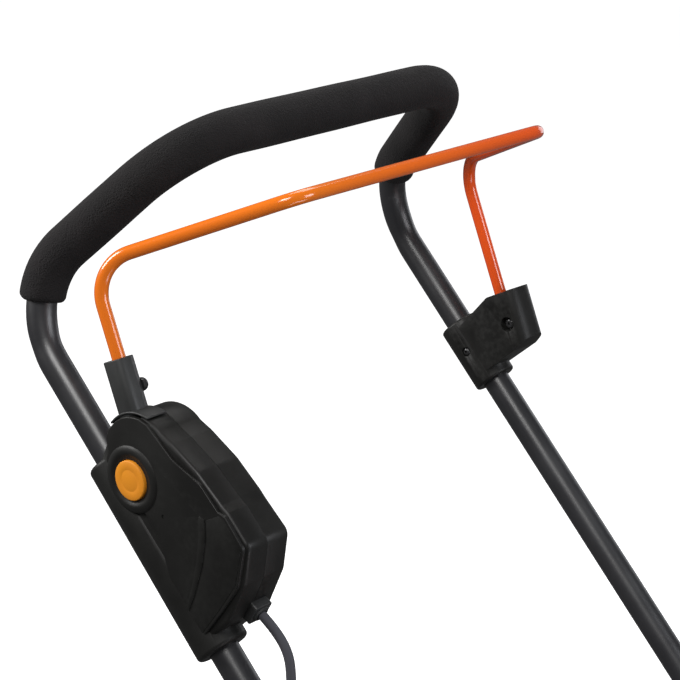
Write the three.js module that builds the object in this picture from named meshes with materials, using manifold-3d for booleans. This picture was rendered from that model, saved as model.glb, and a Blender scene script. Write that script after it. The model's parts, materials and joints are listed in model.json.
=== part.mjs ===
// A cordless push lawn mower: bent steel handle with a foam grip, dead-man bail and switch box,
// folding joint, plastic deck with motor and blade, four wheels, rear flap and grass box.
// Millimetres, +Z up. The front of the mower faces -Y and the operator stands at +Y.
import * as THREE from 'three';
import { mergeVertices } from 'three/addons/utils/BufferGeometryUtils.js';
import Module from 'manifold-3d';

const wasm = await Module();
wasm.setup();

// ---------------------------------------------------------------- driving dimensions
const GAP = 0.3;

// Handle frame: x across, y up along the straight tubes, z square to them, facing forward and up.
const HANDLE_ELEVATION = 46.925;
const HANDLE_HEIGHT = 900;
const HANDLE_REACH = 861;

const TUBE_R = 11;
const TUBE_BORE = 9.8;
const HANDLE_HALF = 201.8;
const CORNER_LOW = [190.5, 34, 34];
const CORNER_HIGH = [150, 37, 170];
const BEND_FOOT = 70;
const BEND_LOW = 63;
const BEND_HIGH = 68;
const FOAM_R = 16.6;
const FOAM_LEFT = 302;
const FOAM_RIGHT = 276;

const BAIL_R = 5;
const BAIL_X = 207;
const BAIL_PIVOT = [-126, 40];
const BAIL_SHOULDER = [BAIL_X, 1.7, 89.8];
const BAIL_LEAN = Math.atan2(BAIL_SHOULDER[2] - BAIL_PIVOT[1], BAIL_SHOULDER[1] - BAIL_PIVOT[0]);
const BAIL_CORNER = [139, -45.5, 220.7];
const BAIL_BEND_SHOULDER = 30;
const BAIL_BEND_CORNER = 26;

const BOX_OUTER = -218.8;
const BOX_INNER = -174.8;
const BOX_SPLIT = -197;
const BOX_WALL = 2.5;
const BOX_HEAD_R = 32;
const BOX_TOP = -107;
const BOX_FOOT = -262;
const CLAMP_R = 16.5;
const DRUM_R = 22;
const GLAND_X = -192;
const GLAND_AT = [-248, 37];
const GLAND_SLOPE = -0.3;
const BUTTON_AT = [-133.3, 25.7];
const BUTTON_R = 14.4;

const FOLD_AT = -640;
const LOWER_X = 178;
const LOWER_FOOT = -935;
const BOLT_R = 4;
const LEVER_PIN_X = 223.4;

const DECK_WALL = 4;
const DECK_NOSE = -238;
const DECK_TAIL = 276;
const DECK_BOTTOM = 38;
const CHAMBER_R = 172;
const CHAMBER_ROOF = 125;
const CHUTE_HALF = 110;
const COVER_WALL = 3.5;
const FRONT_AXLE = [-185, 75];
const REAR_AXLE = [195, 90];
const AXLE_R = 6;
const WHEEL_WIDTH = 38;
const WHEEL_SIDES = 24;
const FRONT_WHEEL_X = 168;
const REAR_WHEEL_X = 188;
const BLADE_Z = 50;
const BLADE_LENGTH = 330;

// ---------------------------------------------------------------- materials
const finish = (color, roughness, metalness) =>
  new THREE.MeshStandardMaterial({ color, roughness, metalness });
const MAT = {
  tube: finish(0x2b2b2e, 0.45, 0.3),
  foam: finish(0x2a2829, 0.95, 0),
  bail: finish(0xe5661c, 0.25, 0.1),
  plastic: finish(0x1c1c1b, 0.6, 0),
  button: finish(0xe5921f, 0.5, 0),
  cable: finish(0x101012, 0.4, 0),
  steel: finish(0x8d9094, 0.35, 0.9),
  deck: finish(0xd9601c, 0.45, 0),
  rubber: finish(0x19191a, 0.8, 0),
  hub: finish(0x54575a, 0.5, 0),
};

// ---------------------------------------------------------------- solids and booleans
function asSolid(geometry) {
  const bare = geometry.index ? geometry.toNonIndexed() : geometry.clone();
  bare.deleteAttribute('normal');
  bare.deleteAttribute('uv');
  const merged = mergeVertices(bare, 1e-4);
  return new wasm.Manifold(new wasm.Mesh({
    numProp: 3,
    vertProperties: new Float32Array(merged.attributes.position.array),
    triVerts: new Uint32Array(merged.index.array),
  }));
}

function asGeometry(solid) {
  const out = solid.getMesh();
  const geometry = new THREE.BufferGeometry();
  geometry.setAttribute('position', new THREE.BufferAttribute(out.vertProperties, 3));
  geometry.setIndex(new THREE.BufferAttribute(out.triVerts, 1));
  return geometry;
}

function join(first, ...others) {
  return asGeometry(others.reduce((sum, g) => sum.add(asSolid(g)), asSolid(first)));
}

function cut(first, ...others) {
  return asGeometry(others.reduce((sum, g) => sum.subtract(asSolid(g)), asSolid(first)));
}

function common(first, ...others) {
  return asGeometry(others.reduce((sum, g) => sum.intersect(asSolid(g)), asSolid(first)));
}

// ---------------------------------------------------------------- outlines and primitives
// A closed outline through the points [x, y, radius], with an arc at each corner that has a radius.
function outline(points) {
  const shape = new THREE.Shape();
  const count = points.length;
  points.forEach(([x, y, radius = 0], i) => {
    const corner = new THREE.Vector2(x, y);
    const before = new THREE.Vector2(...points[(i + count - 1) % count]).sub(corner).normalize();
    const after = new THREE.Vector2(...points[(i + 1) % count]).sub(corner).normalize();
    const start = corner.clone().addScaledVector(before, cornerReach(before, after, radius));
    const end = corner.clone().addScaledVector(after, cornerReach(before, after, radius));
    if (i === 0) shape.moveTo(start.x, start.y);
    else shape.lineTo(start.x, start.y);
    if (radius > 0) shape.quadraticCurveTo(x, y, end.x, end.y);
  });
  shape.closePath();
  return shape;
}

function cornerReach(before, after, radius) {
  const half = Math.acos(THREE.MathUtils.clamp(before.dot(after), -1, 1)) / 2;
  return radius > 0 ? radius / Math.tan(half) : 0;
}

function mirrored(points) {
  return [...points, ...points.map(([x, y, r]) => [-x, y, r]).reverse()];
}

function slab(shape, depth, bevel = 0, curveSegments = 3) {
  return new THREE.ExtrudeGeometry(shape, {
    depth: depth - 2 * bevel,
    bevelEnabled: bevel > 0,
    bevelThickness: bevel,
    bevelSize: bevel,
    bevelOffset: -bevel,
    bevelSegments: 1,
    curveSegments,
  }).translate(0, 0, bevel);
}

// A slab drawn in the y-z plane and running along x from x0 to x1.
function slabX(points, x0, x1, bevel = 0) {
  const basis = new THREE.Matrix4().makeBasis(
    new THREE.Vector3(0, 1, 0), new THREE.Vector3(0, 0, 1), new THREE.Vector3(1, 0, 0));
  return slab(outline(points), x1 - x0, bevel).applyMatrix4(basis).translate(x0, 0, 0);
}

// A slab drawn in the x-y plane and running up from z0 to z1.
function slabZ(points, z0, z1, bevel = 0) {
  return slab(outline(points), z1 - z0, bevel).translate(0, 0, z0);
}

// A slab drawn in the x-z plane and running along y from y0 to y1.
function slabY(points, y0, y1, bevel = 0) {
  const basis = new THREE.Matrix4().makeBasis(
    new THREE.Vector3(1, 0, 0), new THREE.Vector3(0, 0, 1), new THREE.Vector3(0, -1, 0));
  return slab(outline(points), y1 - y0, bevel).applyMatrix4(basis).translate(0, y1, 0);
}

function block(x0, x1, y0, y1, z0, z1) {
  return new THREE.BoxGeometry(x1 - x0, y1 - y0, z1 - z0)
    .translate((x0 + x1) / 2, (y0 + y1) / 2, (z0 + z1) / 2);
}

// A round bar from one point to another.
function bar(from, to, radius, sides = 16, endRadius = radius) {
  const start = new THREE.Vector3(...from);
  const along = new THREE.Vector3(...to).sub(start);
  const turn = new THREE.Quaternion().setFromUnitVectors(
    new THREE.Vector3(0, 1, 0), along.clone().normalize());
  return new THREE.CylinderGeometry(endRadius, radius, along.length(), sides)
    .translate(0, along.length() / 2, 0).applyQuaternion(turn).translate(...from);
}

// The corner radius of a polygonal hole whose flats keep the given distance from its axis.
function clear(radius, sides) {
  return radius / Math.cos(Math.PI / sides);
}

// A hole for a round bar.
function bore(from, to, radius, sides = 16) {
  return bar(from, to, clear(radius, sides), sides);
}

// A turned piece: the profile is [radius, height] pairs, and the axis is Z.
function turned(profile, sides = 24) {
  const points = profile.map(([r, h]) => new THREE.Vector2(r, h));
  return new THREE.LatheGeometry(points, sides).rotateX(Math.PI / 2);
}

// ---------------------------------------------------------------- bent bars
// A centreline of straight runs and round bends, sampled only where it turns.
class BentLine extends THREE.Curve {
  constructor(corners, stepsPerBend = 5) {
    super();
    this.stations = [];
    this.headings = [];
    corners.forEach(([x, y, z, radius = 0], i) => {
      const corner = new THREE.Vector3(x, y, z);
      if (radius === 0) {
        const other = new THREE.Vector3(...corners[i === 0 ? 1 : i - 1]).sub(corner).normalize();
        this.stations.push(corner);
        this.headings.push(i === 0 ? other : other.negate());
        return;
      }
      const back = new THREE.Vector3(...corners[i - 1]).sub(corner).normalize();
      const ahead = new THREE.Vector3(...corners[i + 1]).sub(corner).normalize();
      const half = back.angleTo(ahead) / 2;
      const reach = radius / Math.tan(half);
      const start = corner.clone().addScaledVector(back, reach);
      const centre = corner.clone()
        .addScaledVector(back.clone().add(ahead).normalize(), radius / Math.sin(half));
      const arm = start.clone().sub(centre);
      const axis = ahead.clone().cross(back).normalize();
      const turn = Math.PI - 2 * half;
      for (let k = 0; k <= stepsPerBend; k += 1) {
        const swing = turn * k / stepsPerBend;
        this.stations.push(centre.clone().add(arm.clone().applyAxisAngle(axis, swing)));
        this.headings.push(back.clone().negate().applyAxisAngle(axis, swing));
      }
    });
    this.measure();
  }

  measure() {
    this.reach = [0];
    for (let i = 1; i < this.stations.length; i += 1) {
      this.reach.push(this.reach[i - 1] + this.stations[i].distanceTo(this.stations[i - 1]));
    }
  }

  get total() {
    return this.reach[this.reach.length - 1];
  }

  pointAlong(distance) {
    const i = Math.max(1, this.reach.findIndex((r) => r >= distance));
    const share = (distance - this.reach[i - 1]) / (this.reach[i] - this.reach[i - 1]);
    return this.stations[i - 1].clone().lerp(this.stations[i], share);
  }

  between(from, to) {
    const inside = this.stations.filter((s, i) => this.reach[i] > from + 2 && this.reach[i] < to - 2);
    const first = this.stations.indexOf(inside[0]);
    const last = this.stations.indexOf(inside[inside.length - 1]);
    return BentLine.through(
      [this.pointAlong(from), ...inside, this.pointAlong(to)],
      [this.headings[first], ...this.headings.slice(first, last + 1), this.headings[last]],
    );
  }

  // A line through given stations, with the direction it runs in at each.
  static through(stations, headings) {
    const line = new BentLine([]);
    line.stations = stations;
    line.headings = headings;
    line.measure();
    return line;
  }

  getPointAt(share, target = new THREE.Vector3()) {
    return target.copy(this.stations[Math.round(share * (this.stations.length - 1))]);
  }

  getTangentAt(share, target = new THREE.Vector3()) {
    return target.copy(this.headings[Math.round(share * (this.stations.length - 1))]);
  }
}

function ring(outerRadius, boreRadius = 0, sides = 16) {
  const circle = (radius) => {
    const points = [];
    for (let i = 0; i < sides; i += 1) {
      const angle = 2 * Math.PI * i / sides;
      points.push(new THREE.Vector2(radius * Math.cos(angle), radius * Math.sin(angle)));
    }
    return points;
  };
  const shape = new THREE.Shape(circle(outerRadius));
  if (boreRadius > 0) shape.holes.push(new THREE.Path(circle(clear(boreRadius, sides)).reverse()));
  return shape;
}

function sweep(section, line) {
  return new THREE.ExtrudeGeometry(section, {
    steps: line.stations.length - 1,
    extrudePath: line,
  });
}

// ---------------------------------------------------------------- assembly frame
const mower = new THREE.Group();
const handle = new THREE.Group();
handle.position.set(0, HANDLE_REACH, HANDLE_HEIGHT);
handle.rotation.x = THREE.MathUtils.degToRad(HANDLE_ELEVATION);
mower.add(handle);

function add(parent, name, geometry, material) {
  const mesh = new THREE.Mesh(geometry, material);
  mesh.name = name;
  parent.add(mesh);
}

// ---------------------------------------------------------------- upper handle
function handleLine() {
  const half = [
    [HANDLE_HALF, FOLD_AT - 22, 0],
    [HANDLE_HALF, 0, 0, BEND_FOOT],
    [...CORNER_LOW, BEND_LOW],
    [...CORNER_HIGH, BEND_HIGH],
  ];
  const other = half.map(([x, ...rest]) => [-x, ...rest]);
  return new BentLine([...other, ...half.reverse()], 4);
}

function foldHole(x) {
  return bore([x - 30, FOLD_AT, 0], [x + 30, FOLD_AT, 0], BOLT_R + GAP, 12);
}

function buildUpperHandle() {
  const line = handleLine();
  const tube = cut(sweep(ring(TUBE_R, TUBE_BORE, 12), line), foldHole(-HANDLE_HALF), foldHole(HANDLE_HALF));
  add(handle, 'upper_handle_tube', tube, MAT.tube);
  const middle = line.total / 2;
  const foam = sweep(ring(FOAM_R, TUBE_R + GAP, 12), line.between(middle - FOAM_LEFT, middle + FOAM_RIGHT));
  add(handle, 'foam_grip', foam, MAT.foam);
}

// ---------------------------------------------------------------- bail
// A point at a distance along the bail's leg from its pivot, and a distance square to it.
function onLeg(x, along, across = 0) {
  return [
    x,
    BAIL_PIVOT[0] + along * Math.cos(BAIL_LEAN) - across * Math.sin(BAIL_LEAN),
    BAIL_PIVOT[1] + along * Math.sin(BAIL_LEAN) + across * Math.cos(BAIL_LEAN),
  ];
}

function buildBail() {
  const line = new BentLine([
    onLeg(-BAIL_X, 22.5),
    [-BAIL_SHOULDER[0], BAIL_SHOULDER[1], BAIL_SHOULDER[2], BAIL_BEND_SHOULDER],
    [-BAIL_CORNER[0], BAIL_CORNER[1], BAIL_CORNER[2], BAIL_BEND_CORNER],
    [...BAIL_CORNER, BAIL_BEND_CORNER],
    [...BAIL_SHOULDER, BAIL_BEND_SHOULDER],
    onLeg(BAIL_X, -4),
  ], 4);
  const hole = bore([BAIL_X - 12, ...BAIL_PIVOT], [BAIL_X + 12, ...BAIL_PIVOT], 2.3, 10);
  add(handle, 'bail_bar', cut(sweep(ring(BAIL_R, 0, 10), line), hole), MAT.bail);

  const drum = bar([-211, ...BAIL_PIVOT], [-194.5, ...BAIL_PIVOT], DRUM_R, 24);
  const sleeve = slab(outline([[-8.6, -8, 3], [8.6, -8, 3], [8.6, 8, 5], [-8.6, 8, 5]]), 50)
    .rotateX(-Math.PI / 2).rotateX(BAIL_LEAN).translate(...onLeg(-BAIL_X, 20.5));
  const shade = shutterBand();
  const legBore = bore(onLeg(-BAIL_X, 22.1), onLeg(-BAIL_X, 80), BAIL_R + GAP, 12);
  const axle = bore([-230, ...BAIL_PIVOT], [-170, ...BAIL_PIVOT], 3.3, 12);
  const cross = bore([-202, ...onLeg(0, 49).slice(1)], [-190, ...onLeg(0, 49).slice(1)], 2.4, 10);
  add(handle, 'bail_socket', cut(join(drum, sleeve, shade), legBore, axle, cross), MAT.plastic);

  const boltAt = onLeg(0, 49).slice(1);
  const head = turned([[0, 0], [4, 0], [4, 1.4], [2.4, 3.1], [0, 3.6]], 12)
    .rotateY(Math.PI / 2).translate(-198.1, ...boltAt);
  const shank = bar([-201.6, ...boltAt], [-197.6, ...boltAt], 2.1, 10);
  add(handle, 'bail_socket_bolt', join(head, shank), MAT.steel);
}

// The curved strip that keeps the slot in the switch box closed while the bail swings.
function shutterBand() {
  const arc = (radius, from, to) => {
    const points = [];
    for (let i = 0; i <= 6; i += 1) {
      const angle = BAIL_LEAN + THREE.MathUtils.degToRad(from + (to - from) * i / 6);
      points.push([BAIL_PIVOT[0] + radius * Math.cos(angle), BAIL_PIVOT[1] + radius * Math.sin(angle)]);
    }
    return points;
  };
  return slabX([...arc(35.6, -30, 52), ...arc(32.8, 52, -30)], -216.6, -197.8);
}

// ---------------------------------------------------------------- switch box
function boxOutline(inset = 0) {
  const points = [];
  for (let angle = -28; angle <= 92; angle += 20) {
    const t = THREE.MathUtils.degToRad(angle);
    const r = BOX_HEAD_R - inset;
    points.push([BAIL_PIVOT[0] + r * Math.cos(t), BAIL_PIVOT[1] + r * Math.sin(t)]);
  }
  points.push([-150, 78 - inset, 10]);
  points.push([-186, 87 - inset, 16]);
  points.push([-225 + 0.6 * inset, 87.5 - inset, 9]);
  points.push([-241 + inset, 68, 12]);
  points.push([-253 + inset, 34, 10]);
  points.push([-252 + inset, 2 + inset]);
  points.push([-110 - inset, 2 + inset, 4]);
  return points;
}

function buildSwitchBox() {
  const shell = slabX(boxOutline(), BOX_OUTER, BOX_INNER, 3);
  const clamp = bar([-HANDLE_HALF, BOX_FOOT, 0], [-HANDLE_HALF, BOX_TOP, 0], CLAMP_R, 20);
  const bezel = bar([BOX_OUTER, ...BUTTON_AT], [BOX_OUTER + 12, ...BUTTON_AT], 22, 24);
  const whole = join(shell, clamp, bezel);

  const room = slabX(boxOutline(BOX_WALL), BOX_OUTER + BOX_WALL, BOX_INNER - BOX_WALL);
  const aboveTube = block(-230, -170, -262, -80, 18.6, 90);
  const hollow = common(room, aboveTube);
  const tubeBore = bore([-HANDLE_HALF, -280, 0], [-HANDLE_HALF, -90, 0], TUBE_R + GAP, 20);
  const slot = slabX(slotOutline(), -216.9, -197.5);
  const buttonHole = bore([BOX_OUTER - 5, ...BUTTON_AT], [BOX_OUTER + 4, ...BUTTON_AT], BUTTON_R + 0.4, 24);
  const flangeRoom = bore([-216.4, ...BUTTON_AT], [-211.4, ...BUTTON_AT], 16.8, 20);
  const drumRoom = bore([-211.4, ...BAIL_PIVOT], [-194.1, ...BAIL_PIVOT], DRUM_R + 0.5, 24);
  const glandHole = bore(onGland(-228), onGland(-264), 5.6, 16);
  const cavities = [hollow, tubeBore, slot, buttonHole, flangeRoom, drumRoom, glandHole];

  const outerSide = block(-240, BOX_SPLIT - 0.1, -300, -60, -40, 110);
  const innerSide = block(BOX_SPLIT + 0.1, -160, -300, -60, -40, 110);
  add(handle, 'switch_box_outer', cut(common(whole, outerSide), ...cavities), MAT.plastic);
  add(handle, 'switch_box_inner', cut(common(whole, innerSide), ...cavities), MAT.plastic);

  const cap = bar([-221.8, ...BUTTON_AT], [-215.6, ...BUTTON_AT], BUTTON_R, 24);
  const flange = bar([-216.1, ...BUTTON_AT], [-214.6, ...BUTTON_AT], 16.2, 20);
  add(handle, 'lock_button', join(cap, flange), MAT.button);

  const pin = bar([-211, ...BAIL_PIVOT], [-180, ...BAIL_PIVOT], 3, 12);
  add(handle, 'bail_pivot_pin', pin, MAT.steel);

  const switchBody = block(-211, -186, -206, -172, 36, 62);
  const plunger = block(-203, -197, -172.5, -166, 42, 50);
  add(handle, 'switch_module', join(switchBody, plunger), MAT.plastic);

  const gland = bar(onGland(-245), onGland(-258), 9, 16, 8);
  const glandNeck = bar(onGland(-238), onGland(-257), 5.3, 16);
  const glandBore = bore(onGland(-228), onGland(-275), CABLE_R + GAP, 12);
  const roomForBox = common(whole, block(-240, -160, -300, -60, -40, 110));
  const collar = cut(gland, roomForBox);
  add(handle, 'cable_gland', cut(join(collar, glandNeck), glandBore), MAT.plastic);
}

// A point on the cable gland's axis, which slopes away from the tubes.
function onGland(along) {
  return [GLAND_X, along, GLAND_AT[1] + (along - GLAND_AT[0]) * GLAND_SLOPE];
}

// The slot that the bail's socket swings in, wide enough for the whole squeeze.
function slotOutline() {
  const points = [[BAIL_PIVOT[0], BAIL_PIVOT[1]]];
  for (let angle = -24; angle <= 47; angle += 71 / 4) {
    const t = THREE.MathUtils.degToRad(angle);
    points.push([BAIL_PIVOT[0] + 50 * Math.cos(t), BAIL_PIVOT[1] + 50 * Math.sin(t)]);
  }
  return points;
}

// ---------------------------------------------------------------- right-hand bail bracket
function buildBracket() {
  const clamp = slab(ring(17.6, 0, 24), 56, 1.5)
    .rotateX(-Math.PI / 2).translate(HANDLE_HALF, -157, 0);
  const side = slabX([
    [-149, 8], [-151, 44, 5], [-149, 62, 3], [-112, 77, 3], [-103, 50, 3], [-107, 8],
  ], BAIL_X - 20.5, BAIL_X + 10);
  const plan = slab(outline([[-16.5, -60], [14, -60], [14, 27, 13], [-16.5, 27, 13]]), 90)
    .rotateX(-Math.PI / 2).scale(1, 1, -1);
  const rounded = flipped(plan).rotateX(BAIL_LEAN).translate(...onLeg(BAIL_X - 4, -45));
  const body = join(clamp, common(side, rounded));
  const tubeBore = bore([HANDLE_HALF, -170, 0], [HANDLE_HALF, -90, 0], TUBE_R + GAP, 20);
  const swing = slabX(legSlot(), BAIL_X - 5.6, BAIL_X + 5.6);
  const pinHole = bore([BAIL_X - 30, ...BAIL_PIVOT], [BAIL_X + 8.5, ...BAIL_PIVOT], 2.3, 12);
  const screwAt = onLeg(0, 0, 14).slice(1);
  const counterbore = bore([BAIL_X - 24, ...screwAt], [BAIL_X - 15, ...screwAt], 6, 16);
  const screwHole = bore([BAIL_X - 24, ...screwAt], [BAIL_X + 4, ...screwAt], 2.4, 10);
  const clampHole = bore([HANDLE_HALF - 30, -127, 3], [HANDLE_HALF - 14.5, -127, 3], 3.4, 12);
  add(handle, 'bail_bracket', cut(body, tubeBore, swing, pinHole, counterbore, screwHole, clampHole), MAT.plastic);

  const pin = bar([BAIL_X - 9, ...BAIL_PIVOT], [BAIL_X + 8, ...BAIL_PIVOT], 2, 12);
  add(handle, 'bail_bracket_pin', pin, MAT.steel);
  const head = bar([BAIL_X - 18, ...screwAt], [BAIL_X - 15.3, ...screwAt], 4.2, 14);
  const shank = bar([BAIL_X - 15.6, ...screwAt], [BAIL_X + 2, ...screwAt], 2, 10);
  add(handle, 'bracket_screw', join(head, shank), MAT.steel);
  add(handle, 'clamp_screw', bar([HANDLE_HALF - 16.8, -127, 3], [HANDLE_HALF - 14.8, -127, 3], 3, 12), MAT.steel);
}

// Mirroring turns a solid inside out, so each triangle is wound the other way again.
function flipped(geometry) {
  const out = geometry.toNonIndexed ? geometry.clone() : geometry;
  const position = out.attributes.position;
  for (let i = 0; i < position.count; i += 3) {
    const keep = new THREE.Vector3().fromBufferAttribute(position, i);
    const last = new THREE.Vector3().fromBufferAttribute(position, i + 2);
    position.setXYZ(i, last.x, last.y, last.z);
    position.setXYZ(i + 2, keep.x, keep.y, keep.z);
  }
  return out;
}

function legSlot() {
  const points = [];
  for (let angle = 90; angle <= 270; angle += 45) {
    const t = THREE.MathUtils.degToRad(angle);
    points.push([BAIL_PIVOT[0] + 7.6 * Math.cos(t), BAIL_PIVOT[1] + 7.6 * Math.sin(t)]);
  }
  points.push([BAIL_PIVOT[0] + 60, BAIL_PIVOT[1] - 8]);
  points.push([BAIL_PIVOT[0] + 60, BAIL_PIVOT[1] + 32]);
  return points;
}

// ---------------------------------------------------------------- lower handle and fold joint
function buildFoldJoint(side, name) {
  const x = side * LOWER_X;
  const foot = new BentLine([[x, LOWER_FOOT, 0], [x, FOLD_AT + 22, 0]]);
  add(handle, `lower_tube_${name}`, cut(sweep(ring(TUBE_R, TUBE_BORE, 12), foot), foldHole(x)), MAT.tube);

  const at = [FOLD_AT, 0];
  const shank = bar([side * 164, ...at], [side * (LEVER_PIN_X + 2.4), ...at], BOLT_R, 12);
  const head = bar([side * 162.4, ...at], [side * 166.6, ...at], 9, 12);
  const pin = bar([side * LEVER_PIN_X, FOLD_AT, -7], [side * LEVER_PIN_X, FOLD_AT, 7], 2.6, 10);
  add(handle, `fold_bolt_${name}`, join(shank, head, pin), MAT.steel);

  const body = slab(outline([
    [-8.8, 8.8, 7], [8.8, 8.8, 7], [8.8, -20, 6], [13, -78, 4], [6, -80, 3], [0, -22, 6], [-8.8, -9, 4],
  ]), 16).translate(0, 0, -8);
  const shaped = cut(
    body,
    block(-20, 5, -6, 20, -4.6, 4.6),
    bore([0, 0, -20], [0, 0, 20], 2.9, 12),
  );
  const placed = side > 0 ? shaped : shaped.rotateY(Math.PI);
  add(handle, `cam_lever_${name}`, placed.translate(side * LEVER_PIN_X, FOLD_AT, 0), MAT.plastic);

  const socket = slabX([
    [LOWER_FOOT - 22, -15, 6], [LOWER_FOOT + 32, -15, 4], [LOWER_FOOT + 32, 15, 4], [LOWER_FOOT - 22, 15, 6],
  ], 160.4, 194, 1.5);
  const tubeSeat = bore([LOWER_X, LOWER_FOOT - GAP, 0], [LOWER_X, LOWER_FOOT + 60, 0], TUBE_R + GAP, 20);
  const bracket = cut(socket, tubeSeat);
  add(handle, `handle_socket_${name}`, side > 0 ? bracket : bracket.rotateY(Math.PI), MAT.plastic);
}

// ---------------------------------------------------------------- control cable
const CABLE_R = 3.5;
const CABLE_UPPER = [
  [-192, -258.4, 40.1], [-192, -266, 42.2], [-192, -275, 43.6], [-192, -284, 43.6], [-192.4, -293, 41.4],
  [-193.5, -302, 36.6], [-195.5, -314, 28.4], [-198, -330, 20.5], [-200, -348, 16.2], [-201.5, -368, 15.1],
  [-201.8, -390, 15],
  [-201.8, -450, 15], [-201.8, -520, 15], [-201.8, -566, 15], [-200.5, -580, 16], [-195, -594, 18],
  [-184, -607, 19], [-171, -616, 16.5], [-160.5, -622, 10.5], [-155, -628, 4.6], [-153.5, -634, 1], [-153.5, -639.8, 0],
];
const CABLE_LOWER = [
  [-153.5, -640.2, 0], [-153.5, -646, -1], [-156, -664, -2.2], [-160, -680, -1], [-162.4, -698, 0],
  [-163.2, -720, 0], [-163.2, -780, 0], [-163.2, -850, 0], [-162, -872, 2], [-157, -886, 6],
  [-148, -898, 12], [-136, -912, 18], [-122, -930, 25], [-109, -952, 34], [-99, -975, 44], [-93.5, -996, 54],
];

function cableLine(points) {
  const smooth = new THREE.CatmullRomCurve3(points.map((p) => new THREE.Vector3(...p)), false, 'centripetal');
  const steps = Math.round(smooth.getLength() / (5.5 * CABLE_R));
  const headings = [];
  for (let i = 0; i <= steps; i += 1) headings.push(smooth.getTangentAt(i / steps));
  return BentLine.through(smooth.getSpacedPoints(steps), headings);
}

function buildCable() {
  add(handle, 'cable_upper', sweep(ring(CABLE_R, 0, 8), cableLine(CABLE_UPPER)), MAT.cable);
  add(handle, 'cable_lower', sweep(ring(CABLE_R, 0, 8), cableLine(CABLE_LOWER)), MAT.cable);
  const clipOn = (name, x, along, cableX, cableB) => {
    const collar = bar([x, along - 7, 0], [x, along + 7, 0], TUBE_R + 2.6, 16);
    const eye = bar([cableX, along - 7, cableB], [cableX, along + 7, cableB], CABLE_R + 2.2, 10);
    const tubeBore = bore([x, along - 20, 0], [x, along + 20, 0], TUBE_R + GAP, 16);
    const cableBore = bore([cableX, along - 20, cableB], [cableX, along + 20, cableB], CABLE_R + GAP, 8);
    add(handle, name, cut(join(collar, eye), tubeBore, cableBore), MAT.plastic);
  };
  clipOn('cable_clip_1', -HANDLE_HALF, -410, -201.8, 15);
  clipOn('cable_clip_2', -HANDLE_HALF, -548, -201.8, 15);
  clipOn('cable_clip_3', -LOWER_X, -735, -163.2, 0);
  clipOn('cable_clip_4', -LOWER_X, -835, -163.2, 0);
}

// ---------------------------------------------------------------- deck
const PLAN = [
  [148, DECK_NOSE, 45], [160, -112, 8], [190, -72, 16], [190, 62, 16], [160, 98, 8], [160, DECK_TAIL, 8],
];
const PROFILE = [
  [DECK_NOSE, DECK_BOTTOM, 4], [180, DECK_BOTTOM, 4], [DECK_TAIL, 74, 8], [DECK_TAIL, 226, 6],
  [258, 228, 8], [150, 200, 30], [60, 186], [-120, 178, 40], [-205, 150, 30], [DECK_NOSE, 98, 20],
];

const COVER_SCREWS = [[-70, -82], [70, -82], [-70, 82], [70, 82]];

function deckSolid(grow) {
  const plan = PLAN.map(([x, y, r]) => [x + grow, y + grow * Math.sign(y), r]);
  const lift = ([y, z, r]) => [y + grow * Math.sign(y), z + (z > 90 ? grow : 0), r];
  return common(
    slabZ(mirrored(plan), 20, 260),
    slabX(PROFILE.map(lift), -220, 220),
  );
}

function buildDeck() {
  const outer = deckSolid(0);
  const inner = common(
    slabZ(mirrored(PLAN.map(([x, y, r]) => [x - DECK_WALL, y - DECK_WALL * Math.sign(y), r])), 10, 260),
    slabX(PROFILE.map(([y, z, r]) => [
      y - DECK_WALL * Math.sign(y),
      z > 90 ? z - DECK_WALL : z - 30,
      r,
    ]), -220, 220),
  );
  const skin = cut(outer, inner);
  const chamber = bar([0, 0, 32], [0, 0, CHAMBER_ROOF + 5], CHAMBER_R + 5, 32);
  const tunnel = slabX([[90, 99], [DECK_TAIL - 0.5, 99], [DECK_TAIL - 0.5, 211], [150, 160], [90, 130]],
    -CHUTE_HALF - 4, CHUTE_HALF + 4);
  const pillars = COVER_SCREWS.map(([x, y]) =>
    common(bar([x, y, CHAMBER_ROOF + 2], [x, y, 200], 9, 10), outer));
  const lugs = [-142, 0, 142].map((x) => slabX(
    [[236, 214], [268, 224], [270, 246, 6], [254, 246, 6]], x - 7, x + 7));
  const body = join(skin, chamber, tunnel, ...pillars, ...lugs);

  const sweptRoom = bar([0, 0, 10], [0, 0, CHAMBER_ROOF], CHAMBER_R, 32);
  const chute = slabX([[70, 104], [DECK_TAIL + 8, 104], [DECK_TAIL + 8, 206], [150, 155], [100, 124], [70, 120]],
    -CHUTE_HALF, CHUTE_HALF);
  const motorHole = bore([0, 0, CHAMBER_ROOF + 5.01], [0, 0, 230], 62, 28);
  const shaftHole = bore([0, 0, 100], [0, 0, 140], 14, 16);
  const axleHoles = [FRONT_AXLE, REAR_AXLE].map(([y, z]) =>
    bore([-230, y, z], [230, y, z], AXLE_R + GAP, 14));
  const rodHole = bore([-200, 262, 238], [200, 262, 238], 3 + GAP, 10);
  const screwHoles = COVER_SCREWS.map(([x, y]) => bore([x, y, 160], [x, y, 200], 2.2, 8));
  add(mower, 'deck_shell', cut(
    body, sweptRoom, chute, motorHole, shaftHole, ...axleHoles, rodHole, ...screwHoles,
  ), MAT.deck);
}

// ---------------------------------------------------------------- motor, blade and cover
const COVER_SLOPE = Math.atan2(38, 170);
const COVER_SIDE = [
  [-128, 150], [-128, 226, 22], [-110, 262, 16], [60, 300, 24], [104, 284, 26], [120, 150],
];

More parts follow.
